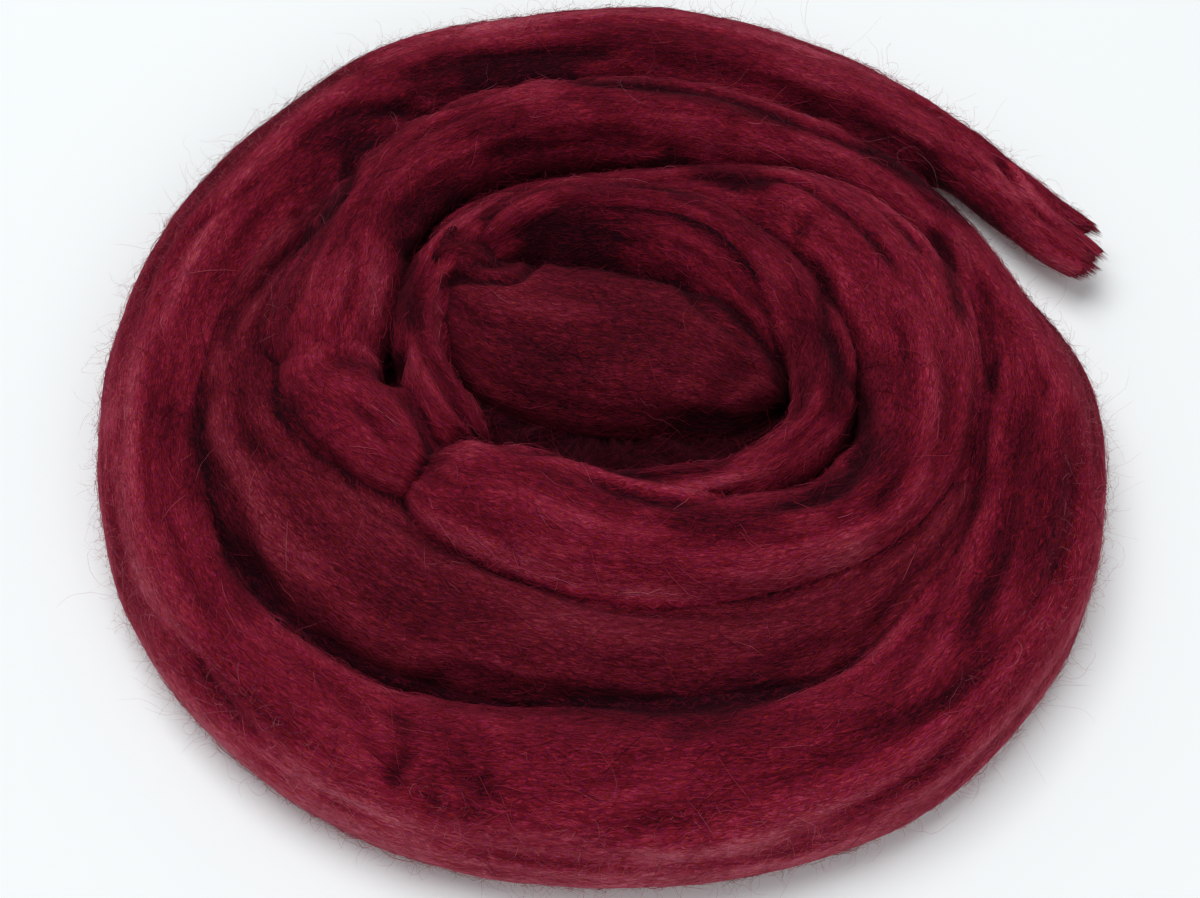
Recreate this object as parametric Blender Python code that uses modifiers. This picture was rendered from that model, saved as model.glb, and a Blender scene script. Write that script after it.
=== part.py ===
"""Coil of wool roving: one soft strand wound inward in flat turns, with a loose cut end.

Run with  blender --background --python part.py  or from the Text Editor.
Metres, +Z up. The coil lies on z = 0 with its box centred on the Z axis.
"""
import math
from collections import namedtuple

import bmesh
import bpy
from mathutils import Matrix, Vector

MM = 0.001

# driving dimensions
STEP_MM = 3.0                   # distance between two sections of a loft
RING_SIDES = 28                 # points around a section
CREASE_COUNT = 6                # long creases along a strand
CREASE_DEPTH = 0.17             # share of the section's size
TWIST_TURNS_PER_M = 1.4         # the strand's slight twist
SPREAD = 0.12                   # how much wider a strand's lower half grows
BLUNT = 0.04                    # share of a rounded end that stays a small flat
BED_RADIUS_MM = 88.0            # matted wool between and under the turns
BED_LOW_MM = 3.5
BED_HIGH_MM = 9.0
FLAT_CUT_MM = 1.0               # how far the coil's own weight presses its underside flat
GRID_MM = 1.5                   # cell of the merged surface
TARGET_TRIANGLES = 11000

# a section of a strand that winds about the coil's middle
Turn = namedtuple("Turn", "turn_deg radius_mm height_mm half_width_mm half_height_mm")
# a section of a strand that lies across the coil
Lay = namedtuple("Lay", "x_mm y_mm height_mm half_width_mm half_height_mm")

# outer turn: from the loose cut end, once round, to where it slips inside the loose end
OUTER_TURN = [
    Turn(23, 118, 7.5, 7.0, 6.5),
    Turn(33, 111, 8.5, 8.0, 7.5),
    Turn(48, 106, 10, 9.5, 9.0),
    Turn(68, 103, 11, 11.5, 10.5),
    Turn(90, 101, 11, 13.0, 11.0),
    Turn(120, 100, 12, 14.0, 11.5),
    Turn(150, 97, 12, 14.0, 12.0),
    Turn(180, 97, 12, 13.5, 12.0),
    Turn(210, 100, 12, 14.5, 12.5),
    Turn(240, 99, 12, 17.0, 13.0),
    Turn(270, 98, 13, 19.0, 13.5),
    Turn(300, 101, 13, 19.0, 13.5),
    Turn(325, 100, 13, 17.5, 13.0),
    Turn(345, 98, 13, 14.5, 12.5),
    Turn(360, 97, 13, 12.0, 12.0),
    Turn(375, 92, 12, 9.0, 11.0),
    Turn(390, 90, 12, 8.0, 10.0),
    Turn(405, 86, 13, 8.5, 10.5),
]

# back of the second turn, which ends as a round lobe at the left
BACK_RUN = [
    Turn(420, 80, 14, 10.0, 11.5),
    Turn(438, 76, 15, 11.0, 12.5),
    Turn(460, 76, 15, 12.0, 13.0),
    Turn(480, 73, 16, 13.0, 13.5),
    Turn(500, 67, 17, 13.0, 14.0),
    Turn(517, 63, 17, 13.0, 14.5),
    Turn(530, 62, 17, 14.0, 14.0),
    Turn(541, 61, 13, 12.0, 10.5),
]

# the knuckle where the second turn is pinched and bends
KNUCKLE = [
    Lay(-69, 4, 12, 8, 8),
    Lay(-62, -4, 16, 13, 13),
    Lay(-54, -13, 17, 14, 14.5),
    Lay(-44, -21, 16, 12, 13),
    Lay(-34, -27, 13, 8, 9),
]

# front of the second turn, its right lobe, and over the back as the third turn
FRONT_RUN = [
    Turn(572, 46, 15, 9.0, 11.0),
    Turn(586, 42, 18, 12.5, 14.0),
    Turn(606, 39, 18, 14.5, 15.0),
    Turn(626, 41, 18, 15.0, 15.0),
    Turn(648, 46, 18, 14.0, 14.5),
    Turn(666, 55, 18, 12.5, 14.0),
    Turn(684, 65, 18, 11.5, 13.5),
    Turn(702, 70, 18, 12.0, 13.5),
    Turn(722, 70, 18, 13.5, 13.5),
    Turn(742, 68, 18, 15.0, 13.5),
    Turn(762, 66, 17, 14.0, 13.0),
    Turn(782, 60, 17, 10.5, 12.5),
    Turn(800, 56, 17, 9.0, 12.5),
    Turn(824, 55, 17, 9.0, 12.0),
    Turn(848, 53, 16, 8.0, 12.0),
    Turn(868, 48, 16, 6.5, 12.0),
    Turn(890, 41, 16, 6.5, 12.5),
    Turn(915, 35, 16, 6.5, 12.0),
    Turn(935, 31, 14, 5.5, 11.0),
]

# innermost turn: narrow, standing on its edge round the hollow of the middle
INNER_TURN = [
    Turn(950, 28, 14, 4.5, 10.0),
    Turn(968, 27, 17, 5.5, 12.0),
    Turn(990, 28, 18, 6.0, 12.0),
    Turn(1014, 33, 18, 6.5, 12.0),
    Turn(1038, 43, 18, 6.5, 12.0),
    Turn(1062, 48, 18, 5.5, 12.5),
    Turn(1086, 47, 18, 5.5, 12.5),
    Turn(1110, 43, 18, 6.0, 12.5),
    Turn(1140, 41, 18, 6.5, 12.5),
    Turn(1170, 42, 18, 6.5, 12.0),
    Turn(1190, 44, 17, 6.0, 11.5),
    Turn(1208, 45, 15, 5.0, 10.0),
]

# the inner end, folded across the middle
MIDDLE_BUNCH = [
    Lay(-37, 33, 11, 5, 8),
    Lay(-31, 25, 11, 13, 10),
    Lay(-18, 18, 11, 19, 11.5),
    Lay(0, 13, 11, 21, 12.5),
    Lay(18, 10, 11, 19, 12),
    Lay(33, 4, 10, 14, 10),
    Lay(42, 0, 9, 8, 7),
]

# the second turn's outer fold, lower than the turn that it belongs to
OUTER_FOLD = [
    Turn(136, 74, 11, 6.0, 9.0),
    Turn(152, 77, 11, 10.0, 10.5),
    Turn(172, 79, 11, 12.0, 11.0),
    Turn(192, 76, 11, 13.5, 11.5),
    Turn(212, 70, 11, 14.5, 12.0),
    Turn(235, 65, 11, 15.0, 12.0),
    Turn(260, 64, 11, 15.0, 12.0),
    Turn(285, 69, 11, 14.0, 12.0),
    Turn(305, 75, 11, 12.5, 11.5),
    Turn(325, 80, 11, 11.0, 11.0),
    Turn(342, 83, 11, 8.0, 10.0),
]

# the two locks that the cut end splits into
UPPER_LOCK = [
    Turn(30, 117, 9.5, 3.5, 4.5),
    Turn(26, 121, 9.0, 3.2, 4.0),
    Turn(23.5, 124.5, 8.5, 2.4, 3.0),
]
LOWER_LOCK = [
    Turn(29, 112, 7.5, 6.0, 6.0),
    Turn(23, 117, 7.0, 5.5, 5.5),
    Turn(18.5, 121.5, 6.5, 4.0, 4.0),
]

# name, sections, and how much of the strand's size its ends take to round off
RUNS = [
    ("outer turn", OUTER_TURN + BACK_RUN, 0.8),
    ("knuckle", KNUCKLE, 1.0),
    ("front run", FRONT_RUN, 0.8),
    ("inner turn", INNER_TURN, 1.0),
    ("middle bunch", MIDDLE_BUNCH, 0.6),
    ("outer fold", OUTER_FOLD, 1.0),
    ("upper lock", UPPER_LOCK, 1.0),
    ("lower lock", LOWER_LOCK, 1.0),
]


def centreOf(row):
    """Centre of a section, in metres."""
    if isinstance(row, Turn):
        a = math.radians(row.turn_deg)
        flat = (row.radius_mm * math.cos(a), row.radius_mm * math.sin(a))
    else:
        flat = (row.x_mm, row.y_mm)
    return Vector((*flat, row.height_mm)) * MM


def between(p0, p1, p2, p3, t):
    """Catmull-Rom value between p1 and p2."""
    return 0.5 * (2 * p1 + (p2 - p0) * t + (2 * p0 - 5 * p1 + 4 * p2 - p3) * t * t
                  + (3 * p1 - p0 - 3 * p2 + p3) * t * t * t)


def sectionsAlong(rows):
    """Even, smooth sections through the rows: centre, half width, half height, distance run."""
    keys = [(centreOf(row), row.half_width_mm * MM, row.half_height_mm * MM) for row in rows]
    keys = [keys[0]] + keys + [keys[-1]]
    sections, run = [], 0.0
    for k in range(1, len(keys) - 2):
        steps = max(2, round((keys[k + 1][0] - keys[k][0]).length / (STEP_MM * MM)))
        last = k == len(keys) - 3
        for i in range(steps + last):
            four = keys[k - 1:k + 3]
            centre, halfWidth, halfHeight = (between(*column, i / steps) for column in zip(*four))
            if sections:
                run += (centre - sections[-1][0]).length
            sections.append((centre, halfWidth, halfHeight, run))
    return sections


def loftStrand(name, rows, endRound, collection):
    """Closed loft through the rows, with long creases that follow the strand's twist."""
    sections = sectionsAlong(rows)
    length = sections[-1][3]
    bm = bmesh.new()
    rings = []
    for i, (centre, halfWidth, halfHeight, run) in enumerate(sections):
        ahead = sections[min(i + 1, len(sections) - 1)][0] - sections[max(i - 1, 0)][0]
        side = Vector((ahead.y, -ahead.x, 0)).normalized()
        reach = max(halfWidth, halfHeight) * endRound
        inward = min(1.0, min(run, length - run) / reach + BLUNT)
        closing = math.sqrt(1 - (1 - inward) ** 2)      # rounds both ends off
        twist = 2 * math.pi * TWIST_TURNS_PER_M * run
        ring = []
        for j in range(RING_SIDES):
            a = 2 * math.pi * j / RING_SIDES
            lobe = abs(math.cos(CREASE_COUNT * a / 2 + twist))
            swell = closing * (1 - CREASE_DEPTH * (1 - lobe))      # round lobes, sharp creases
            across = halfWidth * swell * math.cos(a) * (1 + SPREAD * max(0.0, -math.sin(a)))
            rise = halfHeight * swell * math.sin(a)
            ring.append(bm.verts.new(centre + side * across + Vector((0, 0, rise))))
        rings.append(ring)
    for one, two in zip(rings, rings[1:]):
        for j in range(RING_SIDES):
            k = (j + 1) % RING_SIDES
            bm.faces.new((one[j], one[k], two[k], two[j]))
    bm.faces.new(rings[0][::-1])
    bm.faces.new(rings[-1])
    bmesh.ops.recalc_face_normals(bm, faces=bm.faces)
    mesh = bpy.data.meshes.new(name)
    bm.to_mesh(mesh)
    bm.free()
    strand = bpy.data.objects.new(name, mesh)
    collection.objects.link(strand)
    return strand


def moveTo(collection, obj):
    for holder in list(obj.users_collection):
        holder.objects.unlink(obj)
    collection.objects.link(obj)


def makeBed(collection):
    """Low round pad where the turns mat together, so that no gap goes through between them."""
    bpy.ops.mesh.primitive_cylinder_add(
        vertices=64, radius=BED_RADIUS_MM * MM, depth=(BED_HIGH_MM - BED_LOW_MM) * MM)
    bed = bpy.context.object
    bed.name = "bed"
    bed.data.transform(Matrix.Translation((0, 0, (BED_HIGH_MM + BED_LOW_MM) / 2 * MM)))
    moveTo(collection, bed)
    return bed


def makeTableCutter(collection):
    """Box below z = 0."""
    width, depth = 0.4, 0.1
    bpy.ops.mesh.primitive_cube_add(size=1)
    cutter = bpy.context.object
    cutter.name = "below the table"
    cutter.data.transform(Matrix.Diagonal((width, width, depth, 1)))
    cutter.data.transform(Matrix.Translation((0, 0, -depth / 2)))
    moveTo(collection, cutter)
    cutter.hide_render = True
    cutter.display_type = "WIRE"
    return cutter


def makeWool():
    wool = bpy.data.materials.new("crimson wool")
    wool.use_nodes = True
    shader = wool.node_tree.nodes["Principled BSDF"]
    crimson = (0.20, 0.012, 0.030, 1)
    shader.inputs["Base Color"].default_value = crimson
    shader.inputs["Roughness"].default_value = 0.9
    shader.inputs["Metallic"].default_value = 0.0
    wool.diffuse_color = crimson
    return wool


def joinPieces(name, pieces, collection):
    bm = bmesh.new()
    for piece in pieces:
        bm.from_mesh(piece.data)
        bpy.data.objects.remove(piece, do_unlink=True)
    mesh = bpy.data.meshes.new(name)
    bm.to_mesh(mesh)
    bm.free()
    joined = bpy.data.objects.new(name, mesh)
    collection.objects.link(joined)
    return joined


def applyModifiers(obj):
    bpy.context.view_layer.update()
    graph = bpy.context.evaluated_depsgraph_get()
    obj.data = bpy.data.meshes.new_from_object(obj.evaluated_get(graph))
    obj.modifiers.clear()


def centreOnAxis(obj, drop):
    """Moves the mesh so that its box is centred on the Z axis, and down by drop."""
    middle = [(min(v.co[i] for v in obj.data.vertices) + max(v.co[i] for v in obj.data.vertices)) / 2
              for i in (0, 1)]
    obj.data.transform(Matrix.Translation((-middle[0], -middle[1], -drop)))


def main():
    for old in list(bpy.data.objects):
        bpy.data.objects.remove(old, do_unlink=True)
    model = bpy.data.collections.new("wool roving")
    cutters = bpy.data.collections.new("wool roving cutters")
    for collection in (model, cutters):
        bpy.context.scene.collection.children.link(collection)

    # the runs of the strand grow into one body
    pieces = [loftStrand(name, rows, endRound, model) for name, rows, endRound in RUNS]
    roving = joinPieces("roving", pieces + [makeBed(model)], model)
    merge = roving.modifiers.new("merge runs", "REMESH")
    merge.mode = "VOXEL"
    merge.voxel_size = GRID_MM * MM
    soften = roving.modifiers.new("soften", "SMOOTH")
    soften.factor = 0.5
    soften.iterations = 2
    applyModifiers(roving)
    centreOnAxis(roving, FLAT_CUT_MM * MM)

    # fewer faces, then the underside cut flat where it rests
    thin = roving.modifiers.new("fewer faces", "DECIMATE")
    thin.ratio = min(1.0, TARGET_TRIANGLES / (2 * len(roving.data.polygons)))
    flat = roving.modifiers.new("flat underside", "BOOLEAN")
    flat.operation = "DIFFERENCE"
    flat.solver = "EXACT"
    flat.object = makeTableCutter(cutters)
    roving.data.materials.append(makeWool())
    roving.data.shade_smooth()


main()
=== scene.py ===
import math

import bpy
import numpy as np
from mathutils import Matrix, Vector


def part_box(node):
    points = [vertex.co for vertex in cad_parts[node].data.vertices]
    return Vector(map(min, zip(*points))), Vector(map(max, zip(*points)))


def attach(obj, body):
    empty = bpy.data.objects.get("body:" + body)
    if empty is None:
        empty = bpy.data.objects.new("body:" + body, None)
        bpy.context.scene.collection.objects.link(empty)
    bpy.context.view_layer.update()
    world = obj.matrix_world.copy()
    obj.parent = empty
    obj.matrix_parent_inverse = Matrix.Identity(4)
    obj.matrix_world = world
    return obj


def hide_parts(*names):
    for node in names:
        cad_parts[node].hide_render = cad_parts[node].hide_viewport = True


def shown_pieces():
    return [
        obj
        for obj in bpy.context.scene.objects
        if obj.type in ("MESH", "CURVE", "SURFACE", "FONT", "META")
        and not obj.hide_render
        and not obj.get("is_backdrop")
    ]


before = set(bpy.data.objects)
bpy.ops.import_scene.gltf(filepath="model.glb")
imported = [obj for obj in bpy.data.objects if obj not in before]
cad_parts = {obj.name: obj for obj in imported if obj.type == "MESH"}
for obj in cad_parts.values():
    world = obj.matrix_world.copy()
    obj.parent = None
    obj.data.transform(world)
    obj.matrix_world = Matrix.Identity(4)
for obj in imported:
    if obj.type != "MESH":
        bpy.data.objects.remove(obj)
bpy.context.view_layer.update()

solidLow, solidHigh = (np.array(corner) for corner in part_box("roving"))

mm = 0.001
coilShift = np.array([-2.6, 1.9, -1.0]) * mm  # puts the tables below on the solid's own centre and table


def linear(hexColour):  # sRGB hex to linear
    parts = [int(hexColour[i:i + 2], 16) / 255 for i in (1, 3, 5)]
    return [c / 12.92 if c <= 0.04045 else ((c + 0.055) / 1.055) ** 2.4 for c in parts] + [1.0]


def unit(vectors):  # the same directions at length one
    return vectors / np.maximum(np.linalg.norm(vectors, axis=-1, keepdims=True), 1e-12)


def wound(rows):  # turn angle and radius become x and y
    t = np.array(rows, float)
    a = np.radians(t[:, 0])
    return np.column_stack([t[:, 1] * np.cos(a), t[:, 1] * np.sin(a), t[:, 2:]])


def layRun(name, seed, around, rows, **settings):
    # around: points round a section; endRound: length of a rounded end, in half widths; dull: the browner wool;
    # level: added to the tone, below zero painted shade on runs that lie deep or in valleys; web: loose wool that
    # bridges turns which have felted together; ragged: mm that a torn end's tufts stand out; shade: share of the
    # painted valley shade away from a lock's start
    usual = dict(endRound=1.0, dull=False, level=0, web=False, ragged=0, shade=1)
    return {**usual, **settings, "name": name, "seed": seed, "around": around, "rows": np.array(rows, float)}


# every run of the strand: sections as (turn angle, radius, height, half width, half height) in degrees and mm,
# wound about the coil's middle, or (x, y, height, half width, half height) where it lies across the coil
runs = [
    layRun("outerStrand", 11, 92, endRound=0.8, rows=wound([
        (31, 112, 10.5, 4.5, 4), (36, 111, 10.8, 6.3, 5.6), (42, 109.2, 11, 7.6, 7), (50, 107, 11, 9.2, 8.8),
        (60, 104.8, 11, 10.5, 10), (74, 102.5, 11, 12, 10.8), (90, 101, 11, 13, 11), (120, 100, 12, 14, 11.5),
        (150, 97, 12, 14, 12), (180, 97, 12, 13.5, 12), (210, 101.5, 12, 13, 12.5), (240, 101, 12, 15.2, 13),
        (270, 98, 13, 19, 13.5), (300, 103.3, 13, 16.5, 13.5), (325, 101.7, 13, 15.8, 13), (345, 98.5, 13, 14, 12.5),
        (360, 97, 13, 12, 12), (375, 92, 12, 9, 11), (390, 90, 12, 8, 10), (405, 86, 13, 8.5, 10.5),
        (420, 80, 14, 10, 11.5), (438, 76, 15, 11, 12.5), (460, 75.6, 14.5, 12, 12.5), (480, 74, 15.5, 11.5, 13.2),
        (498, 69.5, 17, 11.3, 14), (515, 63.5, 17, 12.8, 14.5), (530, 62, 17, 14, 14), (541, 61, 13, 11.5, 10.5)])),
    layRun("knuckle", 12, 84, rows=[
        (-69, 4, 12, 8, 8), (-62, -4, 16, 13, 13), (-54, -13, 17, 14, 14.5), (-44, -21, 16, 12, 13),
        (-34, -27, 13, 8, 9)]),
    layRun("frontStrand", 13, 84, endRound=0.8, level=0.03, rows=wound([
        (572, 46, 15, 9, 11), (586, 42, 18, 12.5, 14), (606, 39, 18, 14.5, 15), (626, 41, 18, 15, 15),
        (648, 46, 18, 14, 14.5), (666, 55, 18, 12.5, 14), (684, 65, 18, 11.5, 13.5), (702, 70, 18, 12, 13.5),
        (722, 70, 18, 13.5, 13.5), (742, 68, 18, 15, 13.5), (762, 65, 16.5, 13.5, 12.8), (782, 59, 13, 9.5, 11),
        (800, 55.5, 11, 8, 9.5), (822, 54, 10.5, 7.5, 9), (836, 53, 12.5, 7.5, 10), (850, 51, 13.5, 6.8, 10),
        (868, 47, 13.5, 6, 10), (890, 41, 15, 5.8, 11.5), (915, 35, 16, 6.5, 12), (935, 31, 14, 5.5, 11)])),
    layRun("innerStrand", 14, 60, rows=wound([
        (950, 30, 14, 4.5, 10), (968, 29.5, 16, 5, 12), (990, 31, 17, 5.2, 12), (1014, 35, 18, 5.8, 12),
        (1038, 42.5, 18, 6, 12), (1062, 49, 18, 6.3, 12.5), (1086, 49.5, 18, 6.5, 12.5), (1110, 47, 18, 7, 12.5),
        (1140, 46.5, 18, 7.5, 12), (1170, 45, 18, 7.5, 11.8), (1190, 45.5, 17, 7, 11.5), (1208, 46, 15, 5.5, 10)])),
    # the bunch's low level is painted shade: it lies deep inside the ring
    layRun("middleBunch", 15, 96, endRound=0.6, dull=True, level=-0.21, rows=[
        (-37, 33, 11, 5, 8), (-31, 25, 11, 13, 10), (-18, 18, 11, 19, 11.5), (0, 13, 11, 21, 12.5),
        (18, 10, 11, 19, 12), (33, 4, 10, 14, 10), (42, 0, 9, 8, 7)]),
    layRun("outerFold", 16, 84, dull=True, level=0.07, rows=wound([
        (136, 74, 11, 6, 9), (152, 77, 11, 10, 10.5), (172, 78.5, 11, 13.5, 11.5), (192, 76, 11, 16, 12.5),
        (212, 70.5, 11, 17.5, 13), (235, 66.8, 11, 17.3, 12.5), (260, 64, 11, 15, 12), (285, 70, 11, 15, 12),
        (305, 77, 11, 14.2, 11.5), (325, 81, 11, 12, 11), (342, 83, 11, 8, 10)])),
    layRun("upperLock", 17, 48, ragged=0.8, level=0.08, shade=0.6, rows=wound([
        (45, 111.5, 11.6, 2.5, 3.8), (41, 112.5, 12.2, 3, 4.3), (36.5, 114.3, 12.4, 3.6, 4.6),
        (31.2, 117, 12.4, 3.3, 3.8), (26.8, 119.8, 12.4, 2.6, 2.9), (23, 123.8, 12.4, 1.9, 1.8)])),
    layRun("lowerLock", 18, 72, ragged=1.0, level=0.04, shade=0.6, rows=wound([
        (50, 106.5, 10.4, 3.5, 4.5), (43, 108, 10.6, 5.8, 5.8), (36, 109.3, 10.8, 6.4, 6.2), (28.5, 111.6, 11, 6, 5.6),
        (23.2, 114.8, 11.2, 5.2, 4.4), (18.9, 119.2, 11.2, 4.5, 2.8)])),
    layRun("rightWeb", 19, 48, web=True, level=-0.06, rows=[
        (80, 38, 14, 4, 6), (84, 26, 15, 8, 8.5), (86, 10, 15, 9, 9), (86, -5, 14, 9, 9), (84, -20, 13, 6, 8),
        (80, -34, 12, 4, 6)]),
    layRun("leftWeb", 20, 48, web=True, level=-0.08, rows=[
        (-42, 79, 11, 4, 5), (-54, 68, 11, 8, 7), (-66, 52, 11, 9, 7.5), (-76, 34, 11, 8, 7.5), (-82, 18, 10, 5, 6)]),
    # this web's low level is painted shade in the valley between the outer turn and the fold
    layRun("foldWeb", 26, 40, web=True, level=-0.25, rows=wound([
        (166, 87, 7, 3, 3.5), (190, 84.5, 8, 4.5, 4.5), (212, 84.5, 8, 4.8, 4.8), (235, 81.5, 7.5, 4, 4.5),
        (262, 78, 7.5, 4, 4.5), (285, 82, 7.5, 4, 4.5), (300, 84, 7, 3, 3.5)])),
    # this web's low level is painted shade in the notch before the loose end
    layRun("endWeb", 25, 40, web=True, level=-0.12, rows=wound([
        (116, 87.5, 7, 2.5, 3.5), (104, 88, 7.5, 4.5, 5), (88, 88.3, 7.5, 5, 5.5), (76, 89.8, 7.5, 5, 5.5),
        (66, 92, 7, 5, 5), (58, 94.5, 6.5, 5.5, 5), (50, 97, 6, 5.5, 5), (43.5, 99.5, 5.5, 4.5, 4.5),
        (40, 101, 4.5, 3, 3.5)])),
    layRun("joinWeb", 22, 40, web=True, rows=[
        (-57, 14, 13, 7, 9), (-60, 6, 15, 10, 12), (-61, -3, 15, 10, 12), (-59, -10, 14, 7, 9)]),
    # the strand's inner end: a low fold inside the ring
    layRun("innerFold", 23, 60, level=-0.06, rows=[
        (-31, 39, 14, 3.5, 7.5), (-20, 41, 15.5, 5.5, 9.5), (-9, 40.5, 16.5, 6.5, 10.5), (5, 39, 17, 7, 11),
        (19, 34, 17, 7, 11), (29.5, 26, 16.5, 6, 10.5), (37, 15, 15, 4.5, 9), (40, 6, 13, 3, 7)]),
    # and the curl it ends in
    layRun("curl", 24, 48, dull=True, level=-0.14, rows=[
        (-41, 30, 14, 5, 8), (-36, 33, 15.5, 6.5, 9), (-29, 33.5, 15.5, 6, 8.5), (-23, 30.5, 14, 4, 7)])]

strand = dict(
    step=1.6,  # mm between sections
    creases=6,  # long creases
    creaseDepth=0.05,  # share of the section's size
    twistPerM=1.4,  # turns of twist
    spread=0.12,  # the lower half's extra width
    crowd=0.35,  # how much closer together the points on the upper side are
    blunt=0.04,  # share of a rounded end that is cut off flat
    relief=[(0.9, 13, 45), (0.5, 5, 26), (0.28, 2.2, 13)],  # depth, width and length of wisps, mm
    reliefShare=0.62,
    reliefRange=(-1.3, 1.1),  # mm
    streaks=[(1, 4.5, 36), (0.6, 2.2, 18)],  # share, width and length of the tone's streaks
    sway=[(0.6, 12, 22), (0.5, 6, 9)])  # share, width and length of the locks that lean together


def evenPath(rows, step):
    # Catmull-Rom curve through the rows' centre, width and height, then one section every step along its length
    keys = rows * mm
    keys = np.vstack([keys[:1], keys, keys[-1:]])
    p0, p1, p2, p3 = (keys[k:len(keys) - 3 + k, None, :] for k in range(4))
    t = np.linspace(0, 1, 24, endpoint=False)[None, :, None]
    curve = 0.5 * (2 * p1 + (p2 - p0) * t + (2 * p0 - 5 * p1 + 4 * p2 - p3) * t ** 2
                   + (3 * p1 - p0 - 3 * p2 + p3) * t ** 3)
    curve = np.vstack([curve.reshape(-1, keys.shape[1]), keys[-1:]])
    run = np.concatenate([[0], np.cumsum(np.linalg.norm(np.diff(curve[:, :3], axis=0), axis=1))])
    at = np.linspace(0, run[-1], max(8, round(run[-1] / (step * mm)) + 1))
    return at, np.column_stack([np.interp(at, run, c) for c in curve.T])


def wisps(rng, sizes, cells):
    # random heights on a coarse grid, smoothly blended: cells along the strand by cells around it, closed around
    nu, nv = sizes
    cu, cv = max(3, round(cells[0])), max(3, round(cells[1]))
    coarse = rng.normal(0, 1, (cu + 1, cv))
    u, v = np.linspace(0, cu - 1e-6, nu), np.arange(nv) * cv / nv
    iu, iv = u.astype(int), v.astype(int)
    fu, fv = u - iu, v - iv
    fu, fv = (fu * fu * (3 - 2 * fu))[:, None], (fv * fv * (3 - 2 * fv))[None, :]
    iw = (iv + 1) % cv
    low = coarse[iu][:, iv] * (1 - fv) + coarse[iu][:, iw] * fv
    high = coarse[iu + 1][:, iv] * (1 - fv) + coarse[iu + 1][:, iw] * fv
    return low * (1 - fu) + high * fu


def gridNormals(points):
    along = np.gradient(points, axis=0)
    round_ = np.roll(points, -1, axis=1) - np.roll(points, 1, axis=1)
    return -unit(np.cross(round_, along))


def strandTube(run):
    # an ellipse carried along the path, its ends closed like half an ellipse, with shallow creases along the twist
    at, path = evenPath(run["rows"], strand["step"])
    nu, nv = len(at), run["around"]
    centre = path[:, :3] + coilShift
    halfWidth, halfHeight = path[:, 3, None], path[:, 4, None]
    ahead = np.gradient(centre, axis=0)
    side = unit(np.column_stack([ahead[:, 1], -ahead[:, 0], np.zeros(nu)]))
    share = np.arange(nv) / nv
    a = (2 * np.pi * share + strand["crowd"] * np.cos(2 * np.pi * share))[None, :]  # closer together on top
    reach = np.maximum(halfWidth, halfHeight) * run["endRound"]
    fromEnd = at if run["ragged"] else np.minimum(at, at[-1] - at)
    closing = np.sqrt(1 - (1 - np.minimum(1, fromEnd[:, None] / reach + strand["blunt"])) ** 2)
    twist = 2 * np.pi * strand["twistPerM"] * at[:, None]
    lobe = np.abs(np.cos(strand["creases"] * a / 2 + twist))
    swell = closing * (1 - strand["creaseDepth"] * (1 - lobe))
    across = halfWidth * swell * np.cos(a) * (1 + strand["spread"] * np.maximum(0, -np.sin(a)))
    points = centre[:, None, :] + side[:, None, :] * across[:, :, None]
    points[:, :, 2] += halfHeight * swell * np.sin(a)
    size = 2 * np.pi * np.sqrt((np.mean(halfWidth) ** 2 + np.mean(halfHeight) ** 2) / 2)
    return dict(run=run, at=at, points=points, centre=centre, side=side, closing=closing, twist=twist,
                half=np.hstack([halfWidth, halfHeight]) * closing, around=size)


space = dict(
    cell=1.5,  # mm between grid points
    rim=9.0,  # mm around the coil
    far=20.0,  # mm, the distance kept where no run is near
    soft=2.2,  # mm, how far apart two runs begin to felt together
    webSoft=5.0,  # the same between a run and a web
    most=1.6,  # mm that felting moves the surface at most
    rounds=8, pull=0.8,  # steps toward the felted surface, and how much of the way each goes
    reach=7.0, slab=0.9)  # mm about a run that it fills; half a section's slab, in steps
spaceLow = solidLow - space["rim"] * mm
spaceCount = np.ceil((solidHigh - spaceLow + space["rim"] * mm) / (space["cell"] * mm)).astype(int) + 1


def distanceSpace(tube):
    # distance to the run at each point of a regular grid, negative inside; each section fills the slab about it
    cell, slab = space["cell"] * mm, strand["step"] * mm * space["slab"]
    values = np.full(spaceCount, space["far"] * mm)
    axes = [spaceLow[k] + np.arange(spaceCount[k]) * cell for k in range(3)]
    last = len(tube["at"]) - 1
    for i, (c, s, half) in enumerate(zip(tube["centre"], tube["side"], tube["half"])):
        reach = half.max() + space["reach"] * mm
        ix, iy = (slice(max(0, int((c[k] - reach - spaceLow[k]) / cell)), int((c[k] + reach - spaceLow[k]) / cell) + 2)
                  for k in (0, 1))
        x, y = axes[0][ix, None] - c[0], axes[1][None, iy] - c[1]
        beyond = np.maximum(0, np.abs(y * s[0] - x * s[1]) - slab)[:, :, None]
        p = ((x * s[0] + y * s[1]) / half[0])[:, :, None]
        q = ((axes[2] - c[2]) / half[1])[None, None, :]
        r = np.sqrt(p * p + q * q)
        d = (r - 1) * r / np.maximum(np.sqrt((p / half[0]) ** 2 + (q / half[1]) ** 2), 1e-6)
        if i in (0, last):
            d = np.where(beyond > 0, np.hypot(np.maximum(d, 0), beyond), d)
        else:
            d = np.where(beyond > 0, space["far"] * mm, d)
        values[ix, iy] = np.minimum(values[ix, iy], d)
    return values


def readSpace(values, points):  # straight blending between the eight grid points around each place
    at = (points - spaceLow) / (space["cell"] * mm)
    at = np.clip(at, 0, spaceCount - 1.001)
    low = at.astype(int)
    f = at - low
    total = 0
    for corner in np.ndindex(2, 2, 2):
        weight = np.abs(1 - np.array(corner) - f)
        here = values[tuple(np.moveaxis(low + corner, -1, 0))]
        total = total + weight[..., 0] * weight[..., 1] * weight[..., 2] * here
    return total


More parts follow.
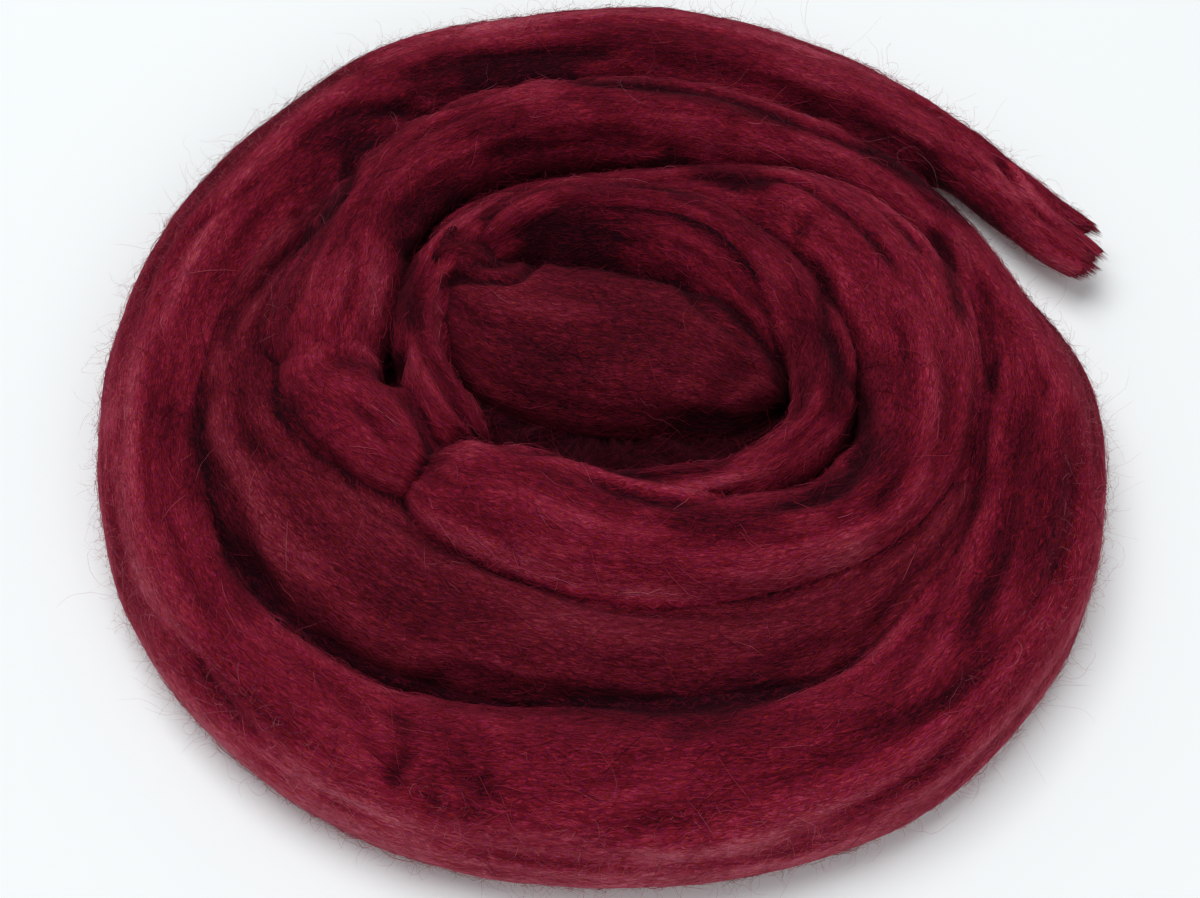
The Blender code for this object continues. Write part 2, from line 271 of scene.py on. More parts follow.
def nearestOther(points, tubes, own, webs=None):  # webs: None for every run, or only the webs, or none of them
    found = np.full(points.shape[:-1], space["far"] * mm)
    for tube in tubes:
        if tube is not own and (webs is None or tube["run"]["web"] == webs):
            found = np.minimum(found, readSpace(tube["space"], points))
    return found


# how deep a point lies, read with these reaches, sets the painted shade in the valleys
valley = dict(normal=0.55, up=0.45, reaches=[(2.5, 0.25), (5, 0.3), (8, 0.25), (12, 0.2)])  # mm and share


def depthShade(points, normals, tubes):
    # how deep a point lies between the turns: going out from it by each reach, the room there, as the distance to
    # the nearest run, is less than the reach; 0 on an open crest, near 1 at the bottom of a valley
    out = unit(normals * valley["normal"] + np.array([0, 0, valley["up"]]))
    total = 0
    for reach, weight in valley["reaches"]:
        room = nearestOther(points + out * reach * mm, tubes, None)
        total = total + weight * np.clip(1 - room / (reach * mm), 0, 1.3)
    return total


def softMin(a, b, k):  # min(a, b) - max(0, k - |a - b|)^2 / 4k
    return np.minimum(a, b) - np.maximum(0, k - np.abs(a - b)) ** 2 / (4 * k)


def feltTogether(tube, tubes):
    # each surface point moves out along its normal until the soft union of its own distance and its neighbours' is
    # zero, which fills the valleys between touching runs a little, and those beside a web smoothly
    points, isWeb = tube["points"], tube["run"]["web"]
    normals = gridNormals(points)
    push = np.zeros(points.shape[:2])
    for _ in range(space["rounds"]):
        place = points + normals * push[:, :, None]
        union = softMin(push, nearestOther(place, tubes, tube, webs=False), space["webSoft" if isWeb else "soft"] * mm)
        union = softMin(union, nearestOther(place, tubes, tube, webs=True), space["webSoft"] * mm)
        push = np.clip(push - union * space["pull"], 0, space["most"] * mm)
    return points + normals * push[:, :, None]


# contact's tone is painted shade along the line where two runs touch; its depth is a real groove
contact = dict(depth=0.3, width=1.1, dark=1.2, tone=0.28)  # mm, mm, mm: the narrow dark line where two runs touch
# painted light low on the outer side, for light through the loose fibres at the foot; near and fade in mm from the
# coil's middle
rim = dict(tone=0.42, side=1.6, up=0.9, start=0.5, near=88, fade=8)
# a lock's cut end: mm that the tufts start back from it, and for each layer its share and width in points round
torn = dict(back=5, power=1.6, tufts=[(0.35, 2.5), (0.75, 8)], sunk=0.25, blend=16, start=0.3)

# creases, gathers and valleys: depth and half width in mm, then the line (x, y) in mm about the coil's middle
folds = [
    (1.2, 1.8, [(-63, 72), (-48, 77), (-35, 73), (-23, 78), (-15, 86), (-2, 80), (9, 78), (24, 76), (36, 72),
        (53, 66), (65, 61), (77, 52)]),  # turns one and two, back
    (1.1, 1.8, [(-59, 65), (-58, 47), (-63, 39), (-72, 33), (-78, 23),
        (-82, 16), (-84, 5)]),  # outer turn and fold, upper left
    (1, 2, [(-85, 0), (-87, -12), (-86, -19), (-81, -28), (-76, -37), (-72, -50), (-65, -61), (-57, -65), (-50, -72),
        (-41, -76), (-30, -72), (-17, -76), (-3, -78), (10, -81), (21, -82), (34, -80), (45, -76), (53, -69),
        (59, -60), (66, -51), (73, -43), (79, -34), (83, -22)]),  # outer turn and fold
    (0.6, 1.2, [(-64, 23), (-67, 13), (-71, 8), (-71, -5), (-67, -13), (-62, -20),
        (-55, -26), (-51, -34)]),  # left lobe and knuckle, outer side
    (0.6, 1.1, [(-51, -34), (-38, -42), (-25, -49), (-12, -55), (0, -60), (12, -61), (26, -62), (40, -60), (50, -56),
        (58, -49)]),  # front lobe and fold
    (1.4, 1.7, [(-46, 30), (-43, 34), (-36, 41), (-30, 47), (-22, 53), (-12, 54), (-1, 55), (12, 55), (23, 54),
        (31, 50), (37, 49)]),  # turns two and three
    (3, 2.2, [(-45, 7), (-45, 3), (-47, -8)]),  # hole by the knuckle
    (1.2, 1.6, [(-45, -8), (-40, -14), (-37, -20), (-35, -27)]),  # knuckle and strip
    (0.9, 1.8, [(-41, 14), (-39, 5), (-34, -5), (-30, -12), (-29, -17)]),  # strip and bunch
    (1.6, 2, [(-29, -17), (-18, -26), (-9, -26), (-2, -27), (9, -31),
        (22, -30), (29, -27)]),  # hollow before the bunch
    (1.2, 1.5, [(-6, -32), (4, -37), (13, -40), (21, -39), (31, -34)]),  # front strip
    (0.5, 2.8, [(-19, 37), (-12, 36), (-1, 36), (9, 35), (16, 32)]),  # hollow behind the bunch
    (1.8, 1.4, [(-37, 24), (-32, 26), (-26, 25), (-19, 25), (-15, 31), (-12, 36)]),  # curl's crease
    (0.9, 1.2, [(15, 33), (23, 28), (32, 20), (40, 13)]),  # ring's dark line
    (1, 1.5, [(17, 28), (23, 17), (31, 9), (36, 6)]),  # ring and bunch
    (0.8, 2, [(36, 9), (41, 2), (43, -8), (42, -16), (37, -5), (30, -7), (22, -8), (13, -9)]),  # right of the bunch
    (1.2, 1.8, [(45, 29), (50, 21), (50, 7), (53, -4), (57, -10), (56, -23), (52, -35),
        (44, -40), (34, -41)]),  # ring's outer side
    (0.6, 1.6, [(-8, 46), (3, 46), (13, 46), (22, 42), (30, 34)]),  # second crease of turn three
    (0.5, 1.8, [(76, 39), (78, 27), (78, 21), (79, 15), (79, 9)]),  # crease, turn two right
    (1.5, 1.3, [(87, 4), (86, -2), (86, -9)]),  # crease by the kink
    (1, 1.6, [(97, -1), (97, -8), (99, -13)]),  # crease on the outer turn
    (1, 1.8, [(91, 13), (93, 11), (96, 9)]),  # kink
    (0.8, 1.8, [(45, 30), (45, 35), (49, 38), (55, 37)]),  # swirl
    (1.4, 1.2, [(36, 51), (44, 49), (50, 43), (57, 35), (63, 26), (66, 20)]),  # swirl's long line
    (1.1, 1.2, [(52, 53), (61, 45), (68, 34), (73, 25)]),  # line right of the swirl
    (0.9, 2.2, [(-41, -80), (-40, -87), (-39, -94), (-40, -101)]),  # outer turn's front pinch
    (1.1, 2, [(-39, -94), (-41, -98), (-42, -102)]),  # gather one
    (1, 1.6, [(-34, -100), (-33, -103), (-32, -106)]),  # gather two
    (0.9, 1.5, [(-29, -90), (-27, -95), (-27, -99)]),  # gather three
    (1, 1.6, [(-25, -102), (-26, -104), (-25, -107)]),  # gather four
    (0.4, 2.6, [(-22, -111), (-8, -113), (3, -111), (13, -107), (25, -103), (40, -99)]),  # long groove, front
    (0.8, 2.4, [(34, -110), (43, -109), (51, -105), (60, -100), (68, -94), (74, -89)]),  # long groove, front right
    (0.8, 2.4, [(51, -91), (61, -87), (70, -82), (76, -76), (82, -67)]),  # long groove, right
    (0.4, 2.4, [(70, -71), (76, -63), (80, -54), (84, -46)]),  # short groove, right
    (0.3, 2.4, [(86, -59), (90, -49), (90, -38), (90, -29)]),  # side groove, right
    (0.4, 2.4, [(64, -69), (68, -61), (73, -53), (76, -47)]),  # short groove by the valley
    (0.7, 1.6, [(-63, 61), (-67, 55), (-70, 48), (-66, 36)]),  # fold upper left one
    (0.7, 1.5, [(-70, 57), (-72, 51), (-78, 43), (-84, 34)]),  # fold upper left two
    (0.7, 1.5, [(-66, 46), (-73, 44), (-78, 38), (-82, 30)]),  # fold upper left three
    (0.9, 1.3, [(-78, 55), (-84, 48), (-90, 42), (-94, 36)]),  # left line
    (2.2, 1, [(93, 65), (96, 60), (99, 55)]),  # loose end slit
    (1.2, 0.9, [(99, 52), (104, 47), (108, 44)]),  # loose end slit two
    (0.9, 0.8, [(101, 44), (106, 40), (110, 37)]),  # loose end slit three
    (0.9, 2.6, [(33, 6), (30, 1), (25, -4), (21, -6)]),  # bunch's small dome
    (0.9, 2.4, [(-80, -14), (-73, -21), (-64, -27)]),  # fold's upper dent
    (0.9, 1.2, [(-54, -14), (-48, -20), (-44, -25)]),  # knuckle line
    (0.3, 1.3, [(-32, -38), (-16, -46), (0, -52), (18, -54)]),  # front lobe line
    (0.9, 1.3, [(-55, 31), (-54, 21), (-56, 10), (-60, 4)]),  # lobe line
    (0.8, 2.6, [(-28, 60), (-14, 65), (1, 67), (11, 66)]),  # turn two dome's lower side
    (0.25, 3.2, [(0, -35), (3, -42), (2, -47), (0, -52)]),  # pinch in the front lobe
    (0.35, 2.6, [(33, -44), (39, -49), (42, -53)]),  # front lobe, second pinch
    (0.9, 4, [(-84, -68), (-75, -79), (-62, -87), (-55, -88)]),  # outer turn, soft dent
    (0.7, 2, [(-97, 10), (-98, -9), (-97, -27), (-93, -45)]),  # outer turn left, long line
    (0.4, 1.8, [(-87, -49), (-78, -65), (-68, -76), (-56, -84)]),  # outer turn left, line two
    (0.3, 2, [(-75, -29), (-63, -47), (-49, -58), (-32, -67), (-12, -71)]),  # fold's long line
    (0.3, 2, [(0, -71), (17, -73), (32, -71), (47, -65)]),  # fold's line, right
    (0.8, 2, [(62, 13), (67, -2), (67, -18), (63, -32), (56, -42)]),  # right lobe's line
    (0.6, 1.8, [(72, 3), (75, -11), (73, -23), (69, -34)]),  # right lobe's line two
    (0.8, 2, [(100, -11), (101, -25), (98, -43), (93, -57)]),  # outer turn right, line
    (0.9, 2.4, [(-48, 84), (-34, 90), (-14, 94), (4, 95)]),  # back, inner half
    (0.6, 2, [(10, 94), (29, 91), (48, 83), (63, 64)]),  # back, line
    (-0.7, 2.8, [(93, 6), (88, -10), (86, -21), (85, -32), (81, -42), (77, -51),
        (70, -68), (61, -82)]),  # outer turn's ridge, right
    (-0.3, 2.5, [(58, -57), (52, -70), (43, -80), (32, -88), (17, -95)]),  # inner edge's ridge
    (-0.5, 2.8, [(47, -74), (36, -84), (25, -91), (15, -98), (7, -104), (0, -107.5), (-7, -108.5), (-20, -108),
        (-28, -104), (-34, -97)]),  # front ridge
    (-0.7, 2.4, [(72, -84), (60, -95), (45, -103), (32, -108), (20, -111)]),  # low ridge, right
    (0.9, 2.2, [(88, -31), (86, -42), (83, -52), (79, -63), (73, -73)]),  # groove by the ridge
    (0.5, 2.4, [(70, -60), (64, -73), (58, -83), (50, -91), (40, -98)]),  # middle groove, right
    (-0.5, 2.6, [(-103, -18), (-98, -40), (-89, -59), (-77, -74)]),  # outer turn's ridge, left
    (-0.3, 2.2, [(-36, -86), (-32, -93), (-30, -100), (-28, -107)]),  # pinch's bright edge
    (0.7, 1.8, [(-50, -84), (-45, -92), (-42, -98), (-38, -104)]),  # gather, front left
    (0.7, 1.8, [(-26, -86), (-23, -94), (-22, -101), (-23, -108)]),  # gather, front
    ]

# painted shade along a line (below zero, painted light): drop in tone, width in mm, points in mm as above
paintedShadeAndLight = [
    (0.19, 4.5, [(-92, -8), (-90, -18), (-84, -32), (-76, -44), (-68, -56)]),  # outer turn's inner slope, left
    (0.13, 4.5, [(-62, -53), (-54, -58), (-48, -60), (-41, -64), (-32, -68)]),  # fold's outer slope, lower left
    (0.2, 6, [(12, -92), (20, -91), (30, -87), (42, -81)]),  # outer turn's inner slope, right
    (-0.1, 3.5, [(2, -76), (13, -76), (20, -76), (28, -73)]),  # fold's outer slope, front
    (-0.17, 3.5, [(2, -57), (11, -57), (20, -58), (33, -56), (48, -52), (57, -45)]),  # under the front lobe
    (0.24, 4, [(12, -43), (29, -45), (42, -39), (53, -31), (57, -20)]),  # front strand beside the ring
    (0.34, 2.6, [(-20, 35), (-13, 36), (-7, 35), (0, 34), (7, 32.5)]),  # pocket behind the bunch
    (0.14, 2.8, [(1, 34), (9, 32), (16, 28), (23, 23)]),  # pocket behind the bunch, right end
    (0.16, 4, [(24, 39), (31, 34), (38, 27)]),  # fold of the ring, right
    (0.16, 4, [(42, 20), (44, 12), (43, 3)]),  # ring's inner side, right
    (0.34, 5, [(-34, 87), (-24, 89), (-15, 90), (-4, 86)]),  # outer turn, back inner slope
    (0.28, 4.5, [(-9, 79), (-1, 78), (6, 79), (23, 74), (34, 71), (48, 66)]),  # turn two's outer slope, back
    (0.14, 5, [(-4, 72), (9, 70), (24, 67), (35, 63)]),  # turn two's crest, back
    (0.12, 5, [(-34, 66), (-26, 67), (-16, 67)]),  # turn two, back left
    (0.2, 5.5, [(-72, 62), (-66, 68), (-59, 67), (-50, 62)]),  # turn two, upper left
    (0.45, 3.5, [(12, 63), (18, 62), (24, 57), (28, 55), (34, 52), (41, 46)]),  # turn three, back right
    (0.28, 3.6, [(-46, 39), (-43, 30), (-42, 20), (-42, 7)]),  # ring's strip, left
    (0.14, 5, [(-70, 20), (-72, 11), (-68, 3), (-65, -2)]),  # left lobe's lower end
    (0.3, 3.4, [(-60, -1), (-54, -3), (-50, -5), (-46, -9)]),  # knuckle, top
    (-0.05, 4, [(-54, 28), (-51, 17), (-49, 8)]),  # left lobe's inner side
    (0.24, 3.6, [(-14, 41), (-5, 43), (5, 43.5), (14, 44), (24, 41)]),  # ring's crest, back
    (0.24, 4, [(63, 3), (62, -8), (60, -18), (59, -27), (56, -35)]),  # turn three, right
    (0.22, 4.5, [(44, -42), (54, -39), (62, -31), (66, -20)]),  # turn three, low right
    (-0.12, 3, [(-37, -24), (-39, -28), (-43, -33)]),  # crease at the front lobe's end
    (0.08, 6, [(-83, 36), (-84, 27), (-85, 16)]),  # outer turn, left
    (0.1, 5, [(-62, 42), (-59, 32), (-56, 21)]),  # left lobe, crest
    (-0.2, 3.2, [(-35, 20), (-32, 10), (-24, -1), (-20, -10)]),  # bunch's left edge
    (-0.12, 3, [(38, -29), (31, -33), (21, -36), (12, -36)]),  # front strip
    (-0.12, 4, [(-66, -18), (-62, -22), (-53, -28), (-43, -34)]),  # under the knuckle
    (-0.08, 4.5, [(-37, -34), (-30, -41), (-18, -48), (-4, -48), (5, -48), (13, -49)]),  # front lobe, under its crest
    (0.12, 4, [(96, -26), (94, -38), (89, -50), (83, -60)]),  # outer turn, far right
    (0.42, 2.6, [(76, 43), (77, 38), (78, 27), (78, 21), (79, 15), (79, 7)]),  # turn two, far right
    (0.18, 5, [(78, 52), (82, 46), (86, 38)]),  # outer turn where the loose end leaves it
    (0.12, 5, [(54, -63), (64, -53), (70, -44)]),  # outer turn's inner edge, right
    (0.22, 5, [(68, -69), (74, -62), (79, -52)]),  # outer turn, right
    (0.2, 4, [(-82, -44), (-76, -54), (-69, -63)]),  # outer turn, lower left
    (0.14, 4, [(44, 12), (46, 0), (46, -14)]),  # ring's crest, right
    (0.26, 2.6, [(27, 20), (33, 14), (36, 11), (39, 5)]),  # ring and bunch, right
    (-0.1, 4, [(60, -63), (54, -71), (46, -77)]),  # fold's end, right
    (-0.12, 4, [(86, -14), (87, -27), (86, -42)]),  # outer turn's groove, right
    (0.16, 4, [(6, -81), (18, -80), (30, -78), (40, -74)]),  # outer turn's inner edge, front
    (0.4, 5, [(62, 66), (70, 60), (78, 54), (86, 52), (94, 45)]),  # loose end's lower side
    (0.14, 5, [(-38, -82), (-32, -93), (-28, -103)]),  # outer turn's front pinch
    (-0.25, 4.2, [(74, 83), (62, 92), (48, 98), (32, 103), (16, 107), (0, 108), (-17, 106), (-31, 102), (-45, 97),
        (-58, 88)]),  # outer turn's outer side, back
    (-0.17, 3.2, [(-100, -45), (-95, -57), (-85, -75), (-72, -88), (-57, -99), (-40, -107), (-21, -113), (0, -115),
        (18, -114)]),  # outer turn's lower side, front left
    (0.24, 3.6, [(-51, 29), (-49, 36), (-44, 43), (-38, 50), (-30, 55)]),  # turn two's inner slope, left
    (-0.14, 4, [(-80, 24), (-77, 16), (-76, 8)]),  # web beside the left lobe
    (0.24, 3.5, [(69, 37), (73, 28), (74, 19)]),  # turn two, outer crest
    (-0.14, 3.5, [(79, -22), (80, -33), (79, -43)]),  # valley right of turn two
    (0.32, 3, [(49, 7), (51, 0), (52, -6), (52, -12), (50, -19)]),  # ring's outer side, right
    (0.26, 3.5, [(77, 51), (83, 44), (88, 39)]),  # outer turn by the notch
    (-0.2, 3, [(-34, -34), (-29, -29), (-22, -27)]),  # front lobe's left crest
    (-0.19, 3.6, [(-57, 86), (-68, 74), (-77, 61), (-84, 49), (-90, 36), (-96, 22), (-100, 10), (-103, -4),
        (-105, -16)]),  # outer turn's outer side, left
    ]

# soft swells: x, y, radius and height in mm, and what they add to the tone, as painted shade below zero and painted
# light above
swells = [
    (-14, -38, 14, 1.3, -0.04),  # front lobe, left dome
    (25, -53, 14, 0.7, -0.05),  # front lobe, right
    (-8, -98, 20, 1.2, -0.08),  # outer turn, front
    (-66, -79, 16, 0.9, -0.03),  # outer turn, front left
    (-63, -35, 14, 0.8, -0.06),  # outer fold, left
    (-77, -9, 12, 0.3, -0.1),  # outer fold, far left
    (-13, 67, 18, 0.5, -0.08),  # turn two, back
    (28, 67, 12, 1.2, 0),  # turn two, back right
    (-16, 77, 8, 0.5, 0.02),  # turn two, bulge
    (2, 91, 15, 0, -0.1),  # outer turn, back inner
    (26, 92, 14, 0, -0.08),  # outer turn, back right inner
    (-21, 98, 12, 0, 0.12),  # outer turn, back left crest
    (48, 90, 12, 0, 0.1),  # outer turn, back right crest
    (-38, 84, 12, 0, -0.08),  # outer turn, back left inner
    (95, -23, 20, 0, -0.18),  # outer turn, right
    (60, -89, 20, 0.4, -0.03),  # outer turn, front right
    (67, -14, 16, 0.4, -0.06),  # right lobe
    (54, -47, 12, 0.4, -0.03),  # right lobe, low
    (11, 5, 18, 0.6, -0.06),  # bunch, right half
    (-56, 15, 12, 0.8, 0.04),  # left lobe
    (-54, -19, 12, 0.6, -0.11),  # knuckle
    (50, 37, 10, 0.6, -0.02),  # swirl
    (-72, 51, 14, 0.3, -0.1),  # upper left gathers
    (-96, -27, 20, 0.3, 0.06),  # outer turn, left
    (31, -107, 16, 0.5, -0.02),  # outer turn, right of the front
    (95, 52, 12, 0, 0.04),  # loose end
    (62, 29, 12, 0.4, -0.05),  # turn two, right
    (48, -5, 8, 0.2, -0.08),  # ring, right
    (-30, 36, 8, 0.8, 0),  # curl
    (-22, 18, 14, 0, 0.12),  # bunch, left half
    (68, 66, 9, 0, -0.14),  # valley before the loose end
    (11, -79, 12, 0, -0.14),  # valley, front
    (29, -79, 12, 0, -0.16),  # valley, front right
    (47, -71, 11, 0, -0.08),  # valley, right
    (-81, -28, 9, 0, -0.1),  # valley, left
    (-39, 15, 6, 0, -0.1),  # ring, left
    (-30, 10, 8, 0, 0.08),  # bunch, left edge
    (50, -32, 8, 0, -0.15),  # wedge beside the ring
    (92, -49, 9, 0, -0.1),  # outer turn, right side
    (74, -33, 8, 0, 0.08),  # turn two, right
    (94, -10, 7, 0, 0.06),  # kink
    (-57, 4, 8, 0, -0.1),  # crease between lobe and knuckle
    (-90, 36, 14, 0, 0.06),  # outer turn, upper left
    (-5, 34, 6, 0, -0.16),  # pocket behind the bunch
    (12, -8, 20, 0, 0.05),  # bunch, middle
    (22, 10, 8, 0, 0.11),  # bunch, far right
    (-26, -104, 8, 0, -0.16),  # outer turn, beside the pinch
    (34, -6, 7, 0, 0.1),  # bunch, right
    (-41, 42, 9, 0, -0.12),  # hollow beside turn two, left
    (-56, 77, 12, 0, -0.1),  # outer turn's inner side, upper left
    ]


groove = dict(step=0.7, reach=4, fade=5, least=0.1, lip=0.25, lipAt=2)  # step and fade in mm, the others in widths


def foldRelief(points, lines):
    # each fold is a groove along a bent line seen in plan: -depth * exp(-(d / width)^2) for the distance d to the
    # line, fading out at both ends, with a soft lip on either side
    height = np.zeros(points.shape[:2])
    place = (points[:, :, :2] - coilShift[:2]) / mm
    for depth, width, corners in lines:
        at, line = evenPath(np.array(corners, float), groove["step"])
        line = line / mm
        reach = groove["reach"] * width
        near = ((place > line.min(0) - reach) & (place < line.max(0) + reach)).all(axis=2)
        if near.any():
            away = np.linalg.norm(place[near][:, None] - line[None], axis=2)
            left = np.minimum(at, at[-1] - at)[np.argmin(away, axis=1)]
            fade = np.minimum(1, left / (groove["fade"] * mm) + groove["least"])
            d = away.min(axis=1) / width
            height[near] += depth * fade * (groove["lip"] * np.exp(-(d - groove["lipAt"]) ** 2) - np.exp(-d * d))
    return height


# the tone of the swells is painted shade and painted light
def swellRelief(points):  # height * exp(-(d / radius)^2) for the distance d in plan, and the same for the tone
    place = (points[:, :, :2] - coilShift[:2]) / mm
    height, tone = np.zeros(points.shape[:2]), np.zeros(points.shape[:2])
    for x, y, radius, rise, change in swells:
        weight = np.exp(-((place[:, :, 0] - x) ** 2 + (place[:, :, 1] - y) ** 2) / radius ** 2)
        height += rise * weight
        tone += change * weight
    return height, tone


def offTable(line, gap):  # keeps every point at least this many mm above the table
    line[..., 2] = np.maximum(line[..., 2], gap * mm)
    return line


def layered(rng, tube, layers):  # wisps of several sizes, each with its share, width and length in mm
    length, around = tube["at"][-1] / mm, tube["around"] / mm
    shape = tube["points"].shape[:2]
    return sum(share * wisps(rng, shape, (length / long, around / wide)) for share, wide, long in layers)


def touchAt(points, tubes, tube, width):  # 1 where another run touches, fading over the width in mm; 0 on a web
    if tube["run"]["web"]:
        return 0
    return np.exp(-(nearestOther(points, tubes, tube, webs=False) / (width * mm)) ** 2)


def finishTube(tube, tubes):
    # wisps that follow the twist, then the placed folds, then the table; a lock's cut end is pulled into tufts
    run = tube["run"]
    rng = np.random.default_rng(run["seed"])
    nu, nv = tube["points"].shape[:2]
    points = feltTogether(tube, tubes)
    height = layered(rng, tube, strand["relief"])
    turned = np.round(tube["twist"] / (np.pi * strand["creases"]) * nv).astype(int)
    height = height[np.arange(nu)[:, None], (np.arange(nv)[None, :] + turned) % nv]
    normals = gridNormals(points)
    grooves = foldRelief(points, folds) * np.clip(normals[:, :, 2] * 2 + 0.4, 0, 1)
    shadows = foldRelief(points, paintedShadeAndLight)
    swell, shade = swellRelief(points)
    touching = touchAt(points, tubes, tube, contact["width"])
    rise = (np.clip(height * strand["reliefShare"], *strand["reliefRange"]) + grooves
            + swell * np.clip(normals[:, :, 2], 0, 1) - contact["depth"] * touching)
    points += normals * (rise * tube["closing"] * mm)[:, :, None]
    if run["ragged"]:
        heading = np.column_stack([-tube["side"][:, 1], tube["side"][:, 0], np.zeros(nu)])
        tuft = sum(share * wisps(rng, (2, nv), (3, nv / wide))[0] for share, wide in torn["tufts"])
        left = (tube["at"] - tube["at"][-1]) / mm
        pull = np.clip((left + torn["back"]) / torn["back"], 0, 1) ** torn["power"]
        points += heading[:, None, :] * (pull[:, None] * tuft[None, :] * run["ragged"] * mm)[:, :, None]
    tube["points"], tube["normals"] = offTable(points, 0), gridNormals(points)
    deep = depthShade(points, tube["normals"], tubes)
    facing = (tube["normals"][:, :, :2] * unit(points[:, :, :2])).sum(2)
    # painted light: paler where the surface faces out and down near the foot of the outer turn
    low = np.clip(facing * rim["side"] - rim["start"] - rim["up"] * tube["normals"][:, :, 2], 0, 1)
    low *= np.clip(np.linalg.norm(points[:, :, :2], axis=2) / mm - rim["near"], 0, rim["fade"]) / rim["fade"]
    streak = layered(rng, tube, strand["streaks"])
    # the tone holds painted shade and light: the swells' and lines' tones, the rim's painted light, and darker hollows
    # and lighter rises of the wisps and folds
    tone = (wool["level"] + run["level"] + shade + shadows + rim["tone"] * low
            + wool["streak"] * streak + wool["relief"] * height + wool["groove"] * grooves)
    # a lock takes the strand's painted valley shade where it starts
    fade = np.clip(tube["at"] / mm / torn["blend"] - torn["start"], 0, 1)[:, None]
    # painted shade: darker deep in the valleys and along the lines where two runs touch
    dark = wool["valley"] * deep + contact["tone"] * touchAt(points, tubes, tube, contact["dark"])
    tube["tone"] = np.clip(tone - dark * (1 - (1 - run["shade"]) * fade), 0, 1)
    tube["sway"] = layered(rng, tube, strand["sway"])


def addObject(name, data):  # a new object in the scene
    item = bpy.data.objects.new(name, data)
    bpy.context.scene.collection.objects.link(item)
    return item


def makeMesh(name, co, corners, starts, material, uvs, tone):
    mesh = bpy.data.meshes.new(name)
    mesh.vertices.add(len(co))
    mesh.vertices.foreach_set("co", co.astype(np.float32).ravel())
    mesh.loops.add(len(corners))
    mesh.loops.foreach_set("vertex_index", corners.astype(np.int32))
    mesh.polygons.add(len(starts))
    mesh.polygons.foreach_set("loop_start", starts.astype(np.int32))
    mesh.polygons.foreach_set("use_smooth", np.full(len(starts), True))
    for label, uv in uvs.items():
        mesh.uv_layers.new(name=label).data.foreach_set("uv", uv.astype(np.float32).ravel())
    mesh.attributes.new("tone", "FLOAT", "POINT").data.foreach_set("value", tone.astype(np.float32).ravel())
    mesh.update(calc_edges=True)
    mesh.validate()
    mesh.materials.append(material)
    piece = addObject(name, mesh)
    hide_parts("roving")
    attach(piece, "root")


def gridPiece(name, points, at, around, tone, material, sunk=0.0):
    # quads between neighbouring rings, closed around, with a fan of triangles over each end
    nu, nv = points.shape[:2]
    ids = np.arange(nu * nv).reshape(nu, nv)
    nextIds = np.roll(ids, -1, axis=1)
    quads = np.stack([ids[:-1], nextIds[:-1], nextIds[1:], ids[1:]], axis=2).reshape(-1, 4)
    first = np.stack([np.full(nv, nu * nv), nextIds[0], ids[0]], axis=1)
    last = np.stack([np.full(nv, nu * nv + 1), ids[-1], nextIds[-1]], axis=1)
    endCentre = points[-1].mean(0)
    endCentre += (points[-3].mean(0) - endCentre) * sunk
    co = np.vstack([points.reshape(-1, 3), points[0].mean(0), endCentre])
    corners = np.concatenate([quads.ravel(), first.ravel(), last.ravel()])
    starts = np.concatenate([np.arange(len(quads)) * 4, len(quads) * 4 + np.arange(2 * nv) * 3])
    # along and around the strand, first in metres for the pattern, then from 0 to 1
    u, v = np.meshgrid(at, np.arange(nv + 1) / nv, indexing="ij")
    cu, cv = (np.stack([g[:-1, :-1], g[:-1, 1:], g[1:, 1:], g[1:, :-1]], axis=2).reshape(-1) for g in (u, v))
    vf = np.arange(nv) / nv
    capU = np.concatenate([np.tile([-0.004 * at[-1], 0, 0], nv), np.tile([1.004 * at[-1], at[-1], at[-1]], nv)])
    capV = np.concatenate([np.stack([vf + 0.5 / nv, vf + 1 / nv, vf], 1).ravel(),
                           np.stack([vf + 0.5 / nv, vf, vf + 1 / nv], 1).ravel()])
    uAll, vAll = np.concatenate([cu, capU]), np.concatenate([cv, capV])
    uvs = {"strand": np.column_stack([uAll, vAll * around]),
           "OFBake": np.column_stack([uAll / at[-1] * 0.98 + 0.01, vAll * 0.98 + 0.01])}
    makeMesh(name, co, corners, starts, material, uvs, np.concatenate([tone.ravel(), [0.4, 0.3]]))


def onGrid(values, u, v):  # smooth reading between the grid's points, closed around
    nu, nv = values.shape[:2]
    u = np.clip(u, 0, nu - 1.001)
    iu, iv = u.astype(int), np.floor(v).astype(int)
    fu, fv = u - iu, v - iv
    iv, iw = iv % nv, (iv + 1) % nv
    if values.ndim == 3:
        fu, fv = fu[..., None], fv[..., None]
    return ((values[iu, iv] * (1 - fv) + values[iu, iw] * fv) * (1 - fu)
            + (values[iu + 1, iv] * (1 - fv) + values[iu + 1, iw] * fv) * fu)


fibre = dict(
    points=6,  # along each fibre
    length=(4, 12),  # mm
    radius=(0.045, 0.075),  # mm, drawn thicker than a real fibre's 0.012, which would not show
    perSquareCm=7,
    sides=(-0.22, 0.72),  # shares of the way round the strand between which they lie
    lift=0.30,  # mm that a fibre's middle may stand off
    loose=(0.10, 2.6),  # share of them that stand off more, and how many times more
    uneven=0.12,  # mm that it lies higher or lower
    crimp=0.34,  # mm of waviness
    wave=(3, 8),  # mm, length of a wave
    sway=20.0,  # degrees that a whole lock leans off the strand's direction
    stray=26.0,  # degrees that one fibre leans off its lock
    lean=65,  # degrees that it leans at most
    margin=1.0,  # mm that a fibre may sink into a neighbour
    tone=(0.05, 0.16),  # tone over the surface's own, and its spread
    pale=(0.05, 0.15),  # share of paler fibres, and how much paler
    most=8000)  # hairs in one piece


